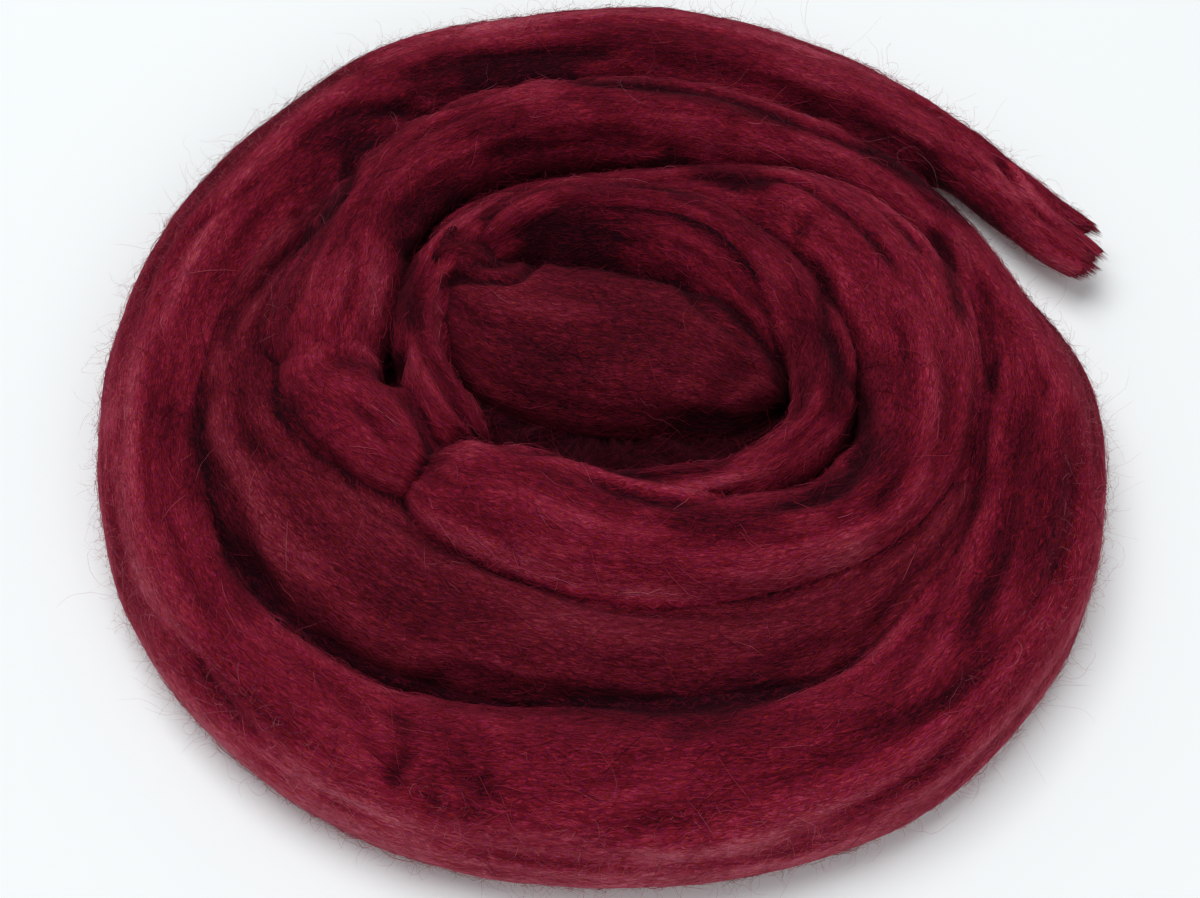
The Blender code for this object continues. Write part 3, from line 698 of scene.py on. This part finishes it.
def fibreMesh(name, line, radius, tone, material):
    # each fibre is a spindle: three-sided rings along its line, closed to a point at both ends
    count, n = line.shape[:2]
    along = unit(np.gradient(line, axis=1))
    side = unit(np.cross(along, np.array([0.05, 0.02, 1.0])))
    up = np.cross(side, along)
    taper = np.sin(np.linspace(0, np.pi, n)) ** 0.45
    angle = np.array([0.5, 2.5, 4.5]) * np.pi / 3
    rings = (line[:, 1:-1, None, :]
             + radius[:, None, None, None] * taper[None, 1:-1, None, None]
             * (side[:, 1:-1, None, :] * np.cos(angle)[None, None, :, None]
                + up[:, 1:-1, None, :] * np.sin(angle)[None, None, :, None]))
    m = n - 2
    co = np.concatenate([rings.reshape(count, m * 3, 3), line[:, :1], line[:, -1:]], axis=1)
    ring = np.arange(m * 3).reshape(m, 3)
    nextRing = np.roll(ring, -1, axis=1)
    quads = np.stack([ring[:-1], ring[1:], nextRing[1:], nextRing[:-1]], axis=2).reshape(-1, 4)
    first = np.stack([np.full(3, m * 3), ring[0], nextRing[0]], axis=1)
    last = np.stack([np.full(3, m * 3 + 1), nextRing[-1], ring[-1]], axis=1)
    each = np.concatenate([quads.ravel(), first.ravel(), last.ravel()])
    sizes = np.concatenate([np.full(len(quads), 4), np.full(6, 3)])
    eachStart = np.concatenate([[0], np.cumsum(sizes)[:-1]])
    base = np.arange(count)[:, None]
    corners = (each[None, :] + base * co.shape[1]).ravel()
    starts = (eachStart[None, :] + base * len(each)).ravel()
    # one small cell of the map for each fibre
    columns = math.ceil(math.sqrt(count))
    along01 = np.concatenate([np.repeat((np.arange(m) + 1) / (n - 1), 3), [0, 1]])[each]
    round01 = np.concatenate([np.tile([0, 0.5, 1], m), [0.5, 0.5]])[each]
    cell = np.stack([base[:, 0] % columns, base[:, 0] // columns], axis=1)
    uv = (cell[:, None, :] + 0.1 + 0.8 * np.stack([along01, round01], axis=1)[None]) / columns
    makeMesh(name, co.reshape(-1, 3), corners, starts, material, {"OFBake": uv.reshape(-1, 2)},
             np.repeat(tone, co.shape[1]))


def fibrePieces(name, line, radius, tone, material):  # as many pieces as the count needs
    for k, part in enumerate(np.array_split(np.arange(len(line)), math.ceil(len(line) / fibre["most"]))):
        fibreMesh(f"{name}{k + 1}", line[part], radius[part], np.clip(tone[part], 0, 1), material)
    print(name, len(line))


def randomTones(rng, settings, count):
    return np.clip(rng.normal(*settings["tone"], count), 0, 1)


def plainFibres(name, line, settings, rng, material):  # one piece, with random radius and tone
    count = len(line)
    fibreMesh(name, line, rng.uniform(*settings["radius"], count) * mm, randomTones(rng, settings, count), material)
    print(name, count)


def placesOn(tube, rng, many, low, high):
    # random places on a run between two shares of the way round it: their place in the grid, point and normal
    nu, nv = tube["points"].shape[:2]
    u, v = rng.uniform(1, nu - 2, many), rng.uniform(low, high, many) * nv
    return u, v, onGrid(tube["points"], u, v), onGrid(tube["normals"], u, v)


def randomSizes(span, power, rng, count):  # in mm, the shorter the more of them
    return span[0] + (span[1] - span[0]) * rng.random(count) ** power


def strandFibres(tube, tubes, material):
    # fibres lie along the strand on its surface, in locks that lean together, each with its own crimp and lift
    run = tube["run"]
    rng = np.random.default_rng(run["seed"] + 100)
    nu, nv = tube["points"].shape[:2]
    stepU, length = tube["at"][1], tube["at"][-1]
    many = int(length * tube["around"] * 1e4 * fibre["perSquareCm"])
    size = np.minimum(rng.uniform(*fibre["length"], many) * mm, length * 0.6)
    u0, v0 = rng.uniform(-0.05, 1, many) * length - size * 0.2, rng.uniform(*fibre["sides"], many) * nv
    s = np.linspace(0, 1, fibre["points"])[None, :]
    along = s * size[:, None]
    lean = onGrid(tube["sway"], (u0 + size / 2) / stepU, v0) * fibre["sway"] + rng.normal(0, fibre["stray"], many)
    lean = np.radians(np.clip(lean, -fibre["lean"], fibre["lean"]))
    wave = 2 * np.pi / (rng.uniform(*fibre["wave"], (many, 1)) * mm)
    crimp = np.abs(rng.normal(0, fibre["crimp"], (many, 1))) * mm
    across = (along - size[:, None] / 2) * np.tan(lean)[:, None]
    across = across + crimp * np.sin(along * wave + rng.uniform(0, 6.3, (many, 1)))
    u = (u0[:, None] + along) / stepU
    twist = 2 * strand["twistPerM"] / strand["creases"] * (u * stepU) * nv
    v = v0[:, None] + across / tube["around"] * nv - (twist - twist[:, :1])
    lift = np.abs(rng.normal(0, fibre["lift"], (many, 1))) * mm * np.sin(np.pi * s) ** 1.5
    lift = lift * np.where(rng.random((many, 1)) < fibre["loose"][0], fibre["loose"][1], 1.0)
    lift = lift + crimp * 0.6 * np.sin(along * wave * 1.1 + rng.uniform(0, 6.3, (many, 1))) * np.sin(np.pi * s)
    lift = lift + rng.uniform(-fibre["uneven"], fibre["uneven"], (many, 1)) * mm
    line = onGrid(tube["points"], u, v) + onGrid(tube["normals"], u, v) * lift[:, :, None]
    middle = fibre["points"] // 2
    keep = (u[:, 0] > -0.3) & (u[:, -1] < nu - 0.7) & (line[:, :, 2].min(axis=1) > -0.1 * mm)
    for k in (1, middle, fibre["points"] - 2):
        keep &= nearestOther(line[:, k], tubes, tube) > -fibre["margin"] * mm
    tone = onGrid(tube["tone"], u[:, middle], v[:, middle]) + fibre["tone"][0] + rng.normal(0, fibre["tone"][1], many)
    tone += np.where(rng.random(many) < fibre["pale"][0], fibre["pale"][1], 0)
    radius = rng.uniform(*fibre["radius"], many) * mm
    fibrePieces(run["name"] + "Fibres", offTable(line, 0.05)[keep], radius[keep], tone[keep], material)


nap = dict(
    seed=55,
    perSquareCm=21,
    points=4,
    sides=(-0.16, 0.64),  # shares of the way round the strand between which they stand
    length=(2, 8),  # mm
    radius=(0.03, 0.05),  # mm
    rise=0.5,  # mm that the middle of a bowed hair stands off
    curl=1.2,  # mm of sideways bow
    wave=0.5, waves=(5, 12),  # mm of sideways wave, and radians of it along a hair
    free=0.5,  # share of hairs with one end standing free
    stand=1.7,  # mm that a free end stands off at most
    tone=(0.88, 0.10, 0.14))  # share of the surface's tone, what is added, and its spread


def strandNap(name, dull, tubes, rng, material):
    # short loose hairs in every direction over the surface: bowed arcs between two nearby surface points, and
    # hairs that start on the surface and curve away from it
    lines, tones = [], []
    for tube in tubes:
        if tube["run"]["dull"] != dull:
            continue
        many = int(tube["at"][-1] * tube["around"] * 1e4 * nap["perSquareCm"])
        u, v, root, out = placesOn(tube, rng, many, *nap["sides"])
        flat = unit(np.cross(out, rng.normal(0, 1, (many, 3))))
        size = randomSizes(nap["length"], 1.5, rng, many) * mm
        s = np.linspace(-0.5, 0.5, nap["points"])[None, :, None]
        bow = 1 - 4 * s * s
        free = rng.random((many, 1, 1)) < nap["free"]
        rise = np.where(free, (s + 0.5) ** 1.4 * rng.uniform(0.1, 1, (many, 1, 1)) * nap["stand"],
                        bow * np.abs(rng.normal(0, nap["rise"], (many, 1, 1)))) * mm
        sideways = bow * (rng.normal(0, nap["curl"], many) * mm)[:, None, None]
        waves = rng.uniform(*nap["waves"], (many, 1, 1))
        sideways = sideways + np.sin(s * waves) * (rng.normal(0, nap["wave"], many) * mm)[:, None, None]
        line = (root[:, None] + flat[:, None] * s * size[:, None, None] + np.cross(out, flat)[:, None] * sideways
                + out[:, None] * (rise - 0.05 * mm))
        keep = (nearestOther(root, tubes, tube) > 0) & (line[:, :, 2].min(axis=1) > 0.1 * mm)
        lines.append(line[keep])
        tones.append(onGrid(tube["tone"], u, v)[keep] * nap["tone"][0] + nap["tone"][1])
    line, tone = np.vstack(lines), np.concatenate(tones)
    radius, tone = rng.uniform(*nap["radius"], len(line)) * mm, tone + rng.normal(0, nap["tone"][2], len(line))
    fibrePieces(name, line, radius, tone, material)


flyaway = dict(
    seed=77,
    outer=900, inner=520,  # on the outer turn and on the others
    spare=1.6,  # how many times more are started, since some run into the wool
    outerSides=(-0.12, 0.16), innerSides=(-0.12, 0.56),  # shares of the way round between which they start
    points=10,
    length=(4, 22),  # mm
    radius=(0.013, 0.024),  # mm
    rise=0.7,  # how steeply the free end leaves the surface
    curl=0.35,  # radians of bend between two points
    waver=0.24,  # how much the direction wavers from point to point
    tone=(0.5, 0.2),  # middle and spread
    reach=8.0)  # mm beyond the solid's box at most


def alongRun(tube, u, v, root):  # direction of the run at places on it
    return unit(onGrid(tube["points"], u + 1, v) - root)


def walk(root, heading, spin, bend, step, count, waver, rng):
    # a hair's points, one step apart: its heading bends about the spin axis and wavers a little at each
    line = [root]
    for _ in range(count - 1):
        heading = unit(heading + np.cross(spin, heading) * bend[:, None] + rng.normal(0, waver, heading.shape))
        line.append(line[-1] + heading * step[:, None])
    return offTable(np.stack(line, axis=1), 0.08)


def opensOut(root, out, tubes, reaches):  # True where no run is near within each reach, in mm, out from the surface
    return np.all([nearestOther(root + out * far * mm, tubes, None) > (far - 2) * mm for far in reaches], axis=0)


def nearBox(line):  # True for hairs that stay close enough to the solid's box
    spread = flyaway["reach"] * mm
    return (line > solidLow - spread).all(axis=(1, 2)) & (line < solidHigh + spread).all(axis=(1, 2))


def flyaways(name, starts, tubes, total, outside, material):
    # stray fibres: a start on the strand, then a walk whose direction turns a little at each point
    rng = np.random.default_rng(flyaway["seed"])
    lines, radii = [], []
    weights = np.array([t["at"][-1] * t["around"] for t in starts])
    for tube, share in zip(starts, weights / weights.sum()):
        count = max(12, round(total * flyaway["spare"] * share))
        u, v, root, out = placesOn(tube, rng, count, *flyaway["outerSides" if outside else "innerSides"])
        heading = alongRun(tube, u, v, root) * rng.choice([-1, 1], count)[:, None]
        heading = heading + out * rng.uniform(0, 1, (count, 1)) * flyaway["rise"] + rng.normal(0, 0.4, (count, 3))
        spin = unit(rng.normal(0, 1, (count, 3)))
        bend = rng.normal(0, flyaway["curl"], count)
        step = randomSizes(flyaway["length"], 1.8, rng, count) / flyaway["points"] * mm
        line = walk(root - out * 0.1 * mm, unit(heading), spin, bend, step, flyaway["points"], flyaway["waver"], rng)
        keep = (nearestOther(line[:, flyaway["points"] // 2], tubes, tube) > -0.3 * mm) & nearBox(line)
        if outside:
            keep &= opensOut(root, out, tubes, (6, 15))
        lines.append(line[keep])
        radii.append(rng.uniform(*flyaway["radius"], keep.sum()) * mm)
    line, radius = np.vstack(lines), np.concatenate(radii)
    fibreMesh(name, line, radius, randomTones(rng, flyaway, len(line)), material)
    print(name, len(line))


skirt = dict(
    seed=91,
    count=14500,
    points=4,
    sides=(-0.20, 0.22),  # shares of the way round the strand between which they start
    length=(0.8, 7),  # mm, most of them short
    radius=(0.013, 0.026),  # mm
    low=0.2, high=24.0, outside=97,  # mm: where on the outer side they start, and how far from the coil's middle
    curl=0.7,  # radians of bend between two points
    waver=0.25,
    tone=(0.6, 0.25))


def skirtHairs(tube, tubes, material):
    # loose hairs all round the outer turn's foot: each starts low on the outer side, goes out and partly along it
    rng = np.random.default_rng(skirt["seed"])
    u, v, root, out = placesOn(tube, rng, skirt["count"] * 4, *skirt["sides"])
    keep = (out[:, :2] * unit(root[:, :2])).sum(1) > 0.3
    keep &= (root[:, 2] > skirt["low"] * mm) & (root[:, 2] < skirt["high"] * mm)
    keep &= (np.linalg.norm(root[:, :2], axis=1) > skirt["outside"] * mm) & opensOut(root, out, tubes, (5, 15))
    chosen = np.nonzero(keep)[0][:skirt["count"]]
    count = len(chosen)
    u, v, root, out = u[chosen], v[chosen], root[chosen], out[chosen]
    heading = unit(alongRun(tube, u, v, root) * rng.normal(0, 1.5, (count, 1)) + out * rng.uniform(0.1, 0.8, (count, 1))
                   + rng.normal(0, 0.3, (count, 3)))
    spin = rng.normal(0, 0.5, (count, 3)) + np.array([0, 0, 1]) * rng.choice([-1, 1], count)[:, None]
    step = randomSizes(skirt["length"], 3.5, rng, count) / (skirt["points"] - 1) * mm
    bend = rng.normal(0, skirt["curl"], count)
    line = walk(root - out * 0.2 * mm, heading, spin, bend, step, skirt["points"], skirt["waver"], rng)
    plainFibres("skirtHairs", line[nearBox(line)], skirt, rng, material)


tip = dict(
    fibres=(420, 1200),  # at the upper and the lower lock's cut
    tufts=16, uneven=0.9,  # tufts round the cut, and mm by which their ends differ
    past=(0.05, 0.42),  # how far past the cut the ends reach, in lengths of the last stretch
    inward=0.8,  # how far toward the lock's middle a fibre may lie
    waver=0.12,  # mm
    radius=(0.05, 0.085),  # mm
    tone=(0.62, 0.15))


def tipFibres(tube, count, material):
    # straight fibres along a lock's last stretch, their ends in uneven tufts past the cut
    rng = np.random.default_rng(tube["run"]["seed"] + 50)
    nu, nv = tube["points"].shape[:2]
    v = rng.uniform(0, nv, count)
    tuft = rng.normal(0, tip["uneven"], tip["tufts"])[(v * tip["tufts"] / nv).astype(int) % tip["tufts"]] * mm
    last = onGrid(tube["points"], np.full(count, nu - 1.2), v)
    inner = rng.uniform(0, tip["inward"], (count, 1))
    last = last + (tube["points"][-1].mean(0) - last) * inner
    before = onGrid(tube["points"], np.full(count, nu - 5.5), v)
    before = before + (tube["points"][-5].mean(0) - before) * inner
    s = np.linspace(0, 1, fibre["points"])[None, :, None]
    past = rng.uniform(*tip["past"], (count, 1)) + (tuft / (4.3 * strand["step"] * mm))[:, None]  # 4.3 sections apart
    end = last + (last - before) * past
    line = before[:, None] + (end - before)[:, None] * s
    line = line + rng.normal(0, tip["waver"] * mm, (count, fibre["points"], 3)) * s
    plainFibres(tube["run"]["name"] + "Tip", offTable(line, 0.3), tip, rng, material)


innerMat = dict(
    seed=21,
    wide=86.0, low=2.5, high=7.5, edge=1.5,  # mm: radius, under and upper side and bevel of the layer below the turns
    around=170, rings=40, under=8,  # points round it, rings on top and below
    fibres=1500, length=(6, 16), radius=(0.04, 0.07), tone=(0.22, 0.12))  # mm


def matPiece(tubes, material, fibreMaterial):
    # rings from the top's middle out to the rim and back under, uneven on top
    rng = np.random.default_rng(innerMat["seed"])
    nv, top, under = innerMat["around"], innerMat["rings"], innerMat["under"]
    wide, low, high, edge = (innerMat[key] for key in ("wide", "low", "high", "edge"))
    a = np.arange(nv) * 2 * np.pi / nv
    r = np.concatenate([np.linspace(0.5, wide - edge, top), [wide] * 2, np.linspace(wide - edge, 0.5, under)])
    z = np.concatenate([np.full(top, high), [high - edge, low + edge], np.full(under, low)])
    lumps = wisps(rng, (len(r), nv), (14, 40)) * 0.8 + wisps(rng, (len(r), nv), (40, 90)) * 0.5
    lumps[0] = lumps[0].mean()
    lumps[top:] = 0
    points = np.stack([r[:, None] * np.cos(a), r[:, None] * np.sin(a), z[:, None] + lumps], axis=2) * mm
    points[:, :, :2] += coilShift[:2]
    at = np.concatenate([[0], np.cumsum(np.hypot(np.diff(r), np.diff(z)))]) * mm + 1 * mm
    # the layer's near-black tone is painted shade: it shows only in the deep gaps, and its fibres are dark for the same
    # reason
    gridPiece("innerMat", points, at, wide * 3 * mm, np.clip(0.02 + 0.05 * lumps, 0, 1), material)
    count = innerMat["fibres"] * 6  # more than needed, since many would lie inside the wool
    radius, turn = np.sqrt(rng.uniform(0.02, 0.95, count)) * wide, rng.uniform(0, 2 * np.pi, count)
    heading = turn + np.pi / 2 + rng.normal(0, 0.7, count)
    s = np.linspace(-0.5, 0.5, fibre["points"])[None, :]
    size = rng.uniform(*innerMat["length"], (count, 1))
    bow = rng.normal(0, 1.2, (count, 1)) * (0.25 - s * s) * 4
    x = (radius * np.cos(turn))[:, None] + np.cos(heading)[:, None] * s * size - np.sin(heading)[:, None] * bow
    y = (radius * np.sin(turn))[:, None] + np.sin(heading)[:, None] * s * size + np.cos(heading)[:, None] * bow
    line = np.stack([x, y, high + rng.uniform(-0.2, 1.8, (count, 1)) + 0 * s], axis=2) * mm
    line[:, :, :2] += coilShift[:2]
    line = line[nearestOther(line[:, 2], tubes, None) > 0.2 * mm][:innerMat["fibres"]]
    plainFibres("innerMatFibres", line, innerMat, rng, fibreMaterial)


def setInputs(node, **values):  # inputs by name, with _ for a space
    for key, value in values.items():
        node.inputs[key.replace("_", " ")].default_value = value


def newMaterial(name, **values):  # a Principled material with these inputs
    material = bpy.data.materials.new(name)
    material.use_nodes = True
    setInputs(material.node_tree.nodes["Principled BSDF"], **values)
    return material


def addNode(tree, kind, links=(), inputs=(), **settings):
    node = tree.nodes.new(kind)
    for key, value in settings.items():
        setattr(node, key, value)
    setInputs(node, **dict(inputs))
    for target, source in links:
        tree.links.new(source, node.inputs[target])
    return node


def calc(tree, operation, *values, clamp=False):  # a Math node: numbers are set, sockets are linked
    node = addNode(tree, "ShaderNodeMath", operation=operation, use_clamp=clamp)
    for value, target in zip(values, node.inputs):
        if isinstance(value, float):
            target.default_value = value
        else:
            tree.links.new(value, target)
    return node.outputs[0]


def noise(tree, vector, scale, detail):
    return addNode(tree, "ShaderNodeTexNoise", links=[("Vector", vector)],
                   inputs=dict(Scale=scale, Detail=detail, Roughness=0.5))


def toneRamp(tree, source, stops):
    ramp = addNode(tree, "ShaderNodeValToRGB", links=[(0, source)])
    while len(ramp.color_ramp.elements) < len(stops):
        ramp.color_ramp.elements.new(0.5)
    for element, (place, colour) in zip(ramp.color_ramp.elements, stops):
        element.position = place
        element.color = linear(colour)
    return ramp


# combed merino wool, dyed crimson: matte keratin fibres that swallow light, with a faint bloom at grazing angles
wool = dict(
    bright=[(0, "#190109"), (0.22, "#490515"), (0.42, "#6a0e22"), (0.6, "#831c33"), (0.8, "#9a3748"), (1, "#b05565")],
    dull=[(0, "#150107"), (0.22, "#3c0411"), (0.42, "#590b1b"), (0.6, "#6e1729"), (0.8, "#802d39"), (1, "#924651")],
    # valley: the drop in tone that paints shade in the valleys
    level=0.465, valley=0.42,  # tone on open wool and its drop in the valleys
    # relief and groove tone is painted shade in hollows and painted light on rises; the streaks differ at random
    streak=0.05, relief=0.05, groove=0.14,  # what streaks, wisps and folds change it by
    # loose hairs are paler as painted light, standing for the light that passes through them
    loose=[(0, "#6c192b"), (0.5, "#943f50"), (1, "#bd7883")],  # single hairs, which light passes through
    roughness=0.85, ior=1.55, specular=0.05, sheen=0.17, sheenTint="#a84458",
    hairMm=(0.55, 5.5),  # room and length of the fine hairs in the strand's own surface, drawn 0.2 mm wide
    matMm=(1.5, 2.4),  # width and length of the matted patches that bend them
    leans=(-0.6, 0.05, 0.8, -0.25, 0.35, -1.2),  # radians: three layers of lit hairs, three of dark gaps
    matBend=(0.0010, 0.0017, 0),  # m
    sharp=18.0,  # how narrow a hair's line is
    hairContrast=0.225, patchContrast=0.11, hueChange=0.085)


def woolMaterial(name, stops, fine):  # fine: how strongly the surface's own hairs show, 0 on a single hair
    material = newMaterial(name, Roughness=wool["roughness"], IOR=wool["ior"], Specular_IOR_Level=wool["specular"],
                           Sheen_Weight=wool["sheen"], Sheen_Roughness=0.5, Sheen_Tint=linear(wool["sheenTint"]))
    tree = material.node_tree
    shader = tree.nodes["Principled BSDF"]
    value = addNode(tree, "ShaderNodeAttribute", attribute_name="tone").outputs["Fac"]
    if fine:
        # hairs along the strand, by the map that runs along and around it in metres, bent by the matted patches
        place = addNode(tree, "ShaderNodeUVMap", uv_map="strand").outputs["UV"]
        width, length = wool["matMm"]
        patches = addNode(tree, "ShaderNodeMapping", links=[("Vector", place)],
                          inputs=dict(Scale=(1000 / length, 1000 / width, 1)))
        mat = noise(tree, patches.outputs["Vector"], 1.0, 2.0)
        bend = addNode(tree, "ShaderNodeVectorMath", operation="MULTIPLY_ADD",
                       links=[(0, mat.outputs["Color"]), (2, place)])
        bend.inputs[1].default_value = wool["matBend"]
        width, length = wool["hairMm"]
        layers = []
        for k, lean in enumerate(wool["leans"]):
            scaled = addNode(tree, "ShaderNodeMapping", links=[("Vector", bend.outputs["Vector"])],
                             inputs=dict(Location=(lean * 3, lean * 5 + k, 0), Rotation=(0, 0, lean),
                                         Scale=(1000 / length, 1000 / width, 1)))
            streak = noise(tree, scaled.outputs["Vector"], 1.0, 0.5)
            # a hair is the thin line where this smooth pattern passes its middle value
            away = calc(tree, "ABSOLUTE", calc(tree, "SUBTRACT", streak.outputs["Fac"], 0.5))
            layers.append(calc(tree, "MULTIPLY_ADD", away, -wool["sharp"], 1.0, clamp=True))
        # the strongest of each three layers shows
        lit, gaps = (calc(tree, "MAXIMUM", calc(tree, "MAXIMUM", part[0], part[1]), part[2])
                     for part in (layers[:3], layers[3:]))
        most = calc(tree, "SUBTRACT", lit, gaps)
        hairs = calc(tree, "MULTIPLY_ADD", most, wool["hairContrast"] * fine, value)
        mixed = calc(tree, "MULTIPLY_ADD", mat.outputs["Fac"], wool["patchContrast"] * fine, hairs)
        value = calc(tree, "SUBTRACT", mixed, wool["patchContrast"] * fine * 0.5, clamp=True)
        bump = addNode(tree, "ShaderNodeBump", links=[("Height", most)], inputs=dict(Strength=0.7, Distance=0.0001))
        tree.links.new(bump.outputs["Normal"], shader.inputs["Normal"])
    ramp = toneRamp(tree, value, stops)
    # dye takes a little unevenly: some hairs redder, some nearer purple
    dye = noise(tree, addNode(tree, "ShaderNodeTexCoord").outputs["Object"], 2200.0, 1.0)
    hue = calc(tree, "MULTIPLY_ADD", dye.outputs["Fac"], wool["hueChange"], 0.5 - wool["hueChange"] * 0.5)
    dyed = addNode(tree, "ShaderNodeHueSaturation", links=[("Hue", hue), ("Color", ramp.outputs["Color"])])
    tree.links.new(dyed.outputs["Color"], shader.inputs["Base Color"])
    return material


brightStrand = woolMaterial("combed wool strand, crimson", wool["bright"], 0.95)
dullStrand = woolMaterial("combed wool strand, brownish crimson", wool["dull"], 1.1)
brightFibre = woolMaterial("wool fibre, crimson", wool["bright"], 0)
dullFibre = woolMaterial("wool fibre, brownish crimson", wool["dull"], 0)
looseFibre = woolMaterial("loose wool fibre, crimson", wool["loose"], 0)
print("materials made")

tubes = [strandTube(run) for run in runs]
for tube in tubes:
    tube["space"] = distanceSpace(tube)
print("runs laid")
for tube in tubes:
    finishTube(tube, tubes)
print("runs felted together")
for tube in tubes:
    run = tube["run"]
    surface, hair = (dullStrand, dullFibre) if run["dull"] else (brightStrand, brightFibre)
    gridPiece(run["name"], tube["points"], tube["at"], tube["around"], tube["tone"], surface,
              sunk=torn["sunk"] if run["ragged"] else 0)
    strandFibres(tube, tubes, hair)
outer = tubes[0]
upper, lower = (tube for tube in tubes if tube["run"]["ragged"])
for lock, count in zip((upper, lower), tip["fibres"]):
    tipFibres(lock, count, brightFibre)
matPiece(tubes, dullStrand, dullFibre)
napRng = np.random.default_rng(nap["seed"])
strandNap("nap", False, tubes, napRng, brightFibre)
strandNap("napDull", True, tubes, napRng, dullFibre)
flyaways("flyaways", [outer, upper, lower], tubes, flyaway["outer"], True, looseFibre)
flyaways("surfaceHairs", tubes[1:], tubes, flyaway["inner"], False, brightFibre)
skirtHairs(outer, tubes, looseFibre)
print("strand and fibres made")

# pale table, sheet of matte card
table = bpy.data.meshes.new("table")
table.from_pydata([(-2, -2, 0), (2, -2, 0), (2, 2, 0), (-2, 2, 0)], [], [(0, 1, 2, 3)])
table.materials.append(newMaterial("matte white card", Base_Color=linear("#edf0f1"), Roughness=0.9,
                                   Specular_IOR_Level=0.2))
tableTop = addObject("table", table)
tableTop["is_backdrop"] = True

view = dict(elevation=57.0, distance=0.55, lens=74.85, target=(-2.6, -12.1, 11.0))  # degrees, m, mm, mm
cameraData = bpy.data.cameras.new("camera")
cameraData.lens = view["lens"]
cameraData.sensor_width = 36
cameraData.clip_start = 0.01
camera = addObject("camera", cameraData)
lean = math.radians(view["elevation"])
camera.location = Vector(view["target"]) * mm + Vector((0, -math.cos(lean), math.sin(lean))) * view["distance"]
camera.rotation_euler = (math.pi / 2 - lean, 0, 0)
bpy.context.scene.camera = camera

light = dict(
    key=dict(place=(-0.35, 0.30, 1.75), size=1.4, power=25.3),
    front=dict(place=(0.6, -0.95, 1.1), size=1.2, power=5.5),
    world=0.365)
for name in ("key", "front"):
    lampData = bpy.data.lights.new(name, "AREA")
    lampData.size, lampData.energy = light[name]["size"], light[name]["power"]
    lamp = addObject(name, lampData)
    lamp.location = light[name]["place"]
    lamp.rotation_euler = (-Vector(light[name]["place"])).to_track_quat("-Z", "Y").to_euler()
world = bpy.data.worlds.new("room")
world.use_nodes = True
world.node_tree.nodes["Background"].inputs["Color"].default_value = linear("#f4fafb")
world.node_tree.nodes["Background"].inputs["Strength"].default_value = light["world"]
bpy.context.scene.world = world
bpy.context.scene.view_settings.view_transform = "Standard"

bpy.context.view_layer.update()
counts = {o.name: sum(len(p.vertices) - 2 for p in o.data.polygons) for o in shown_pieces()}
print("triangles", sum(counts.values()), "most", max(counts.values()))
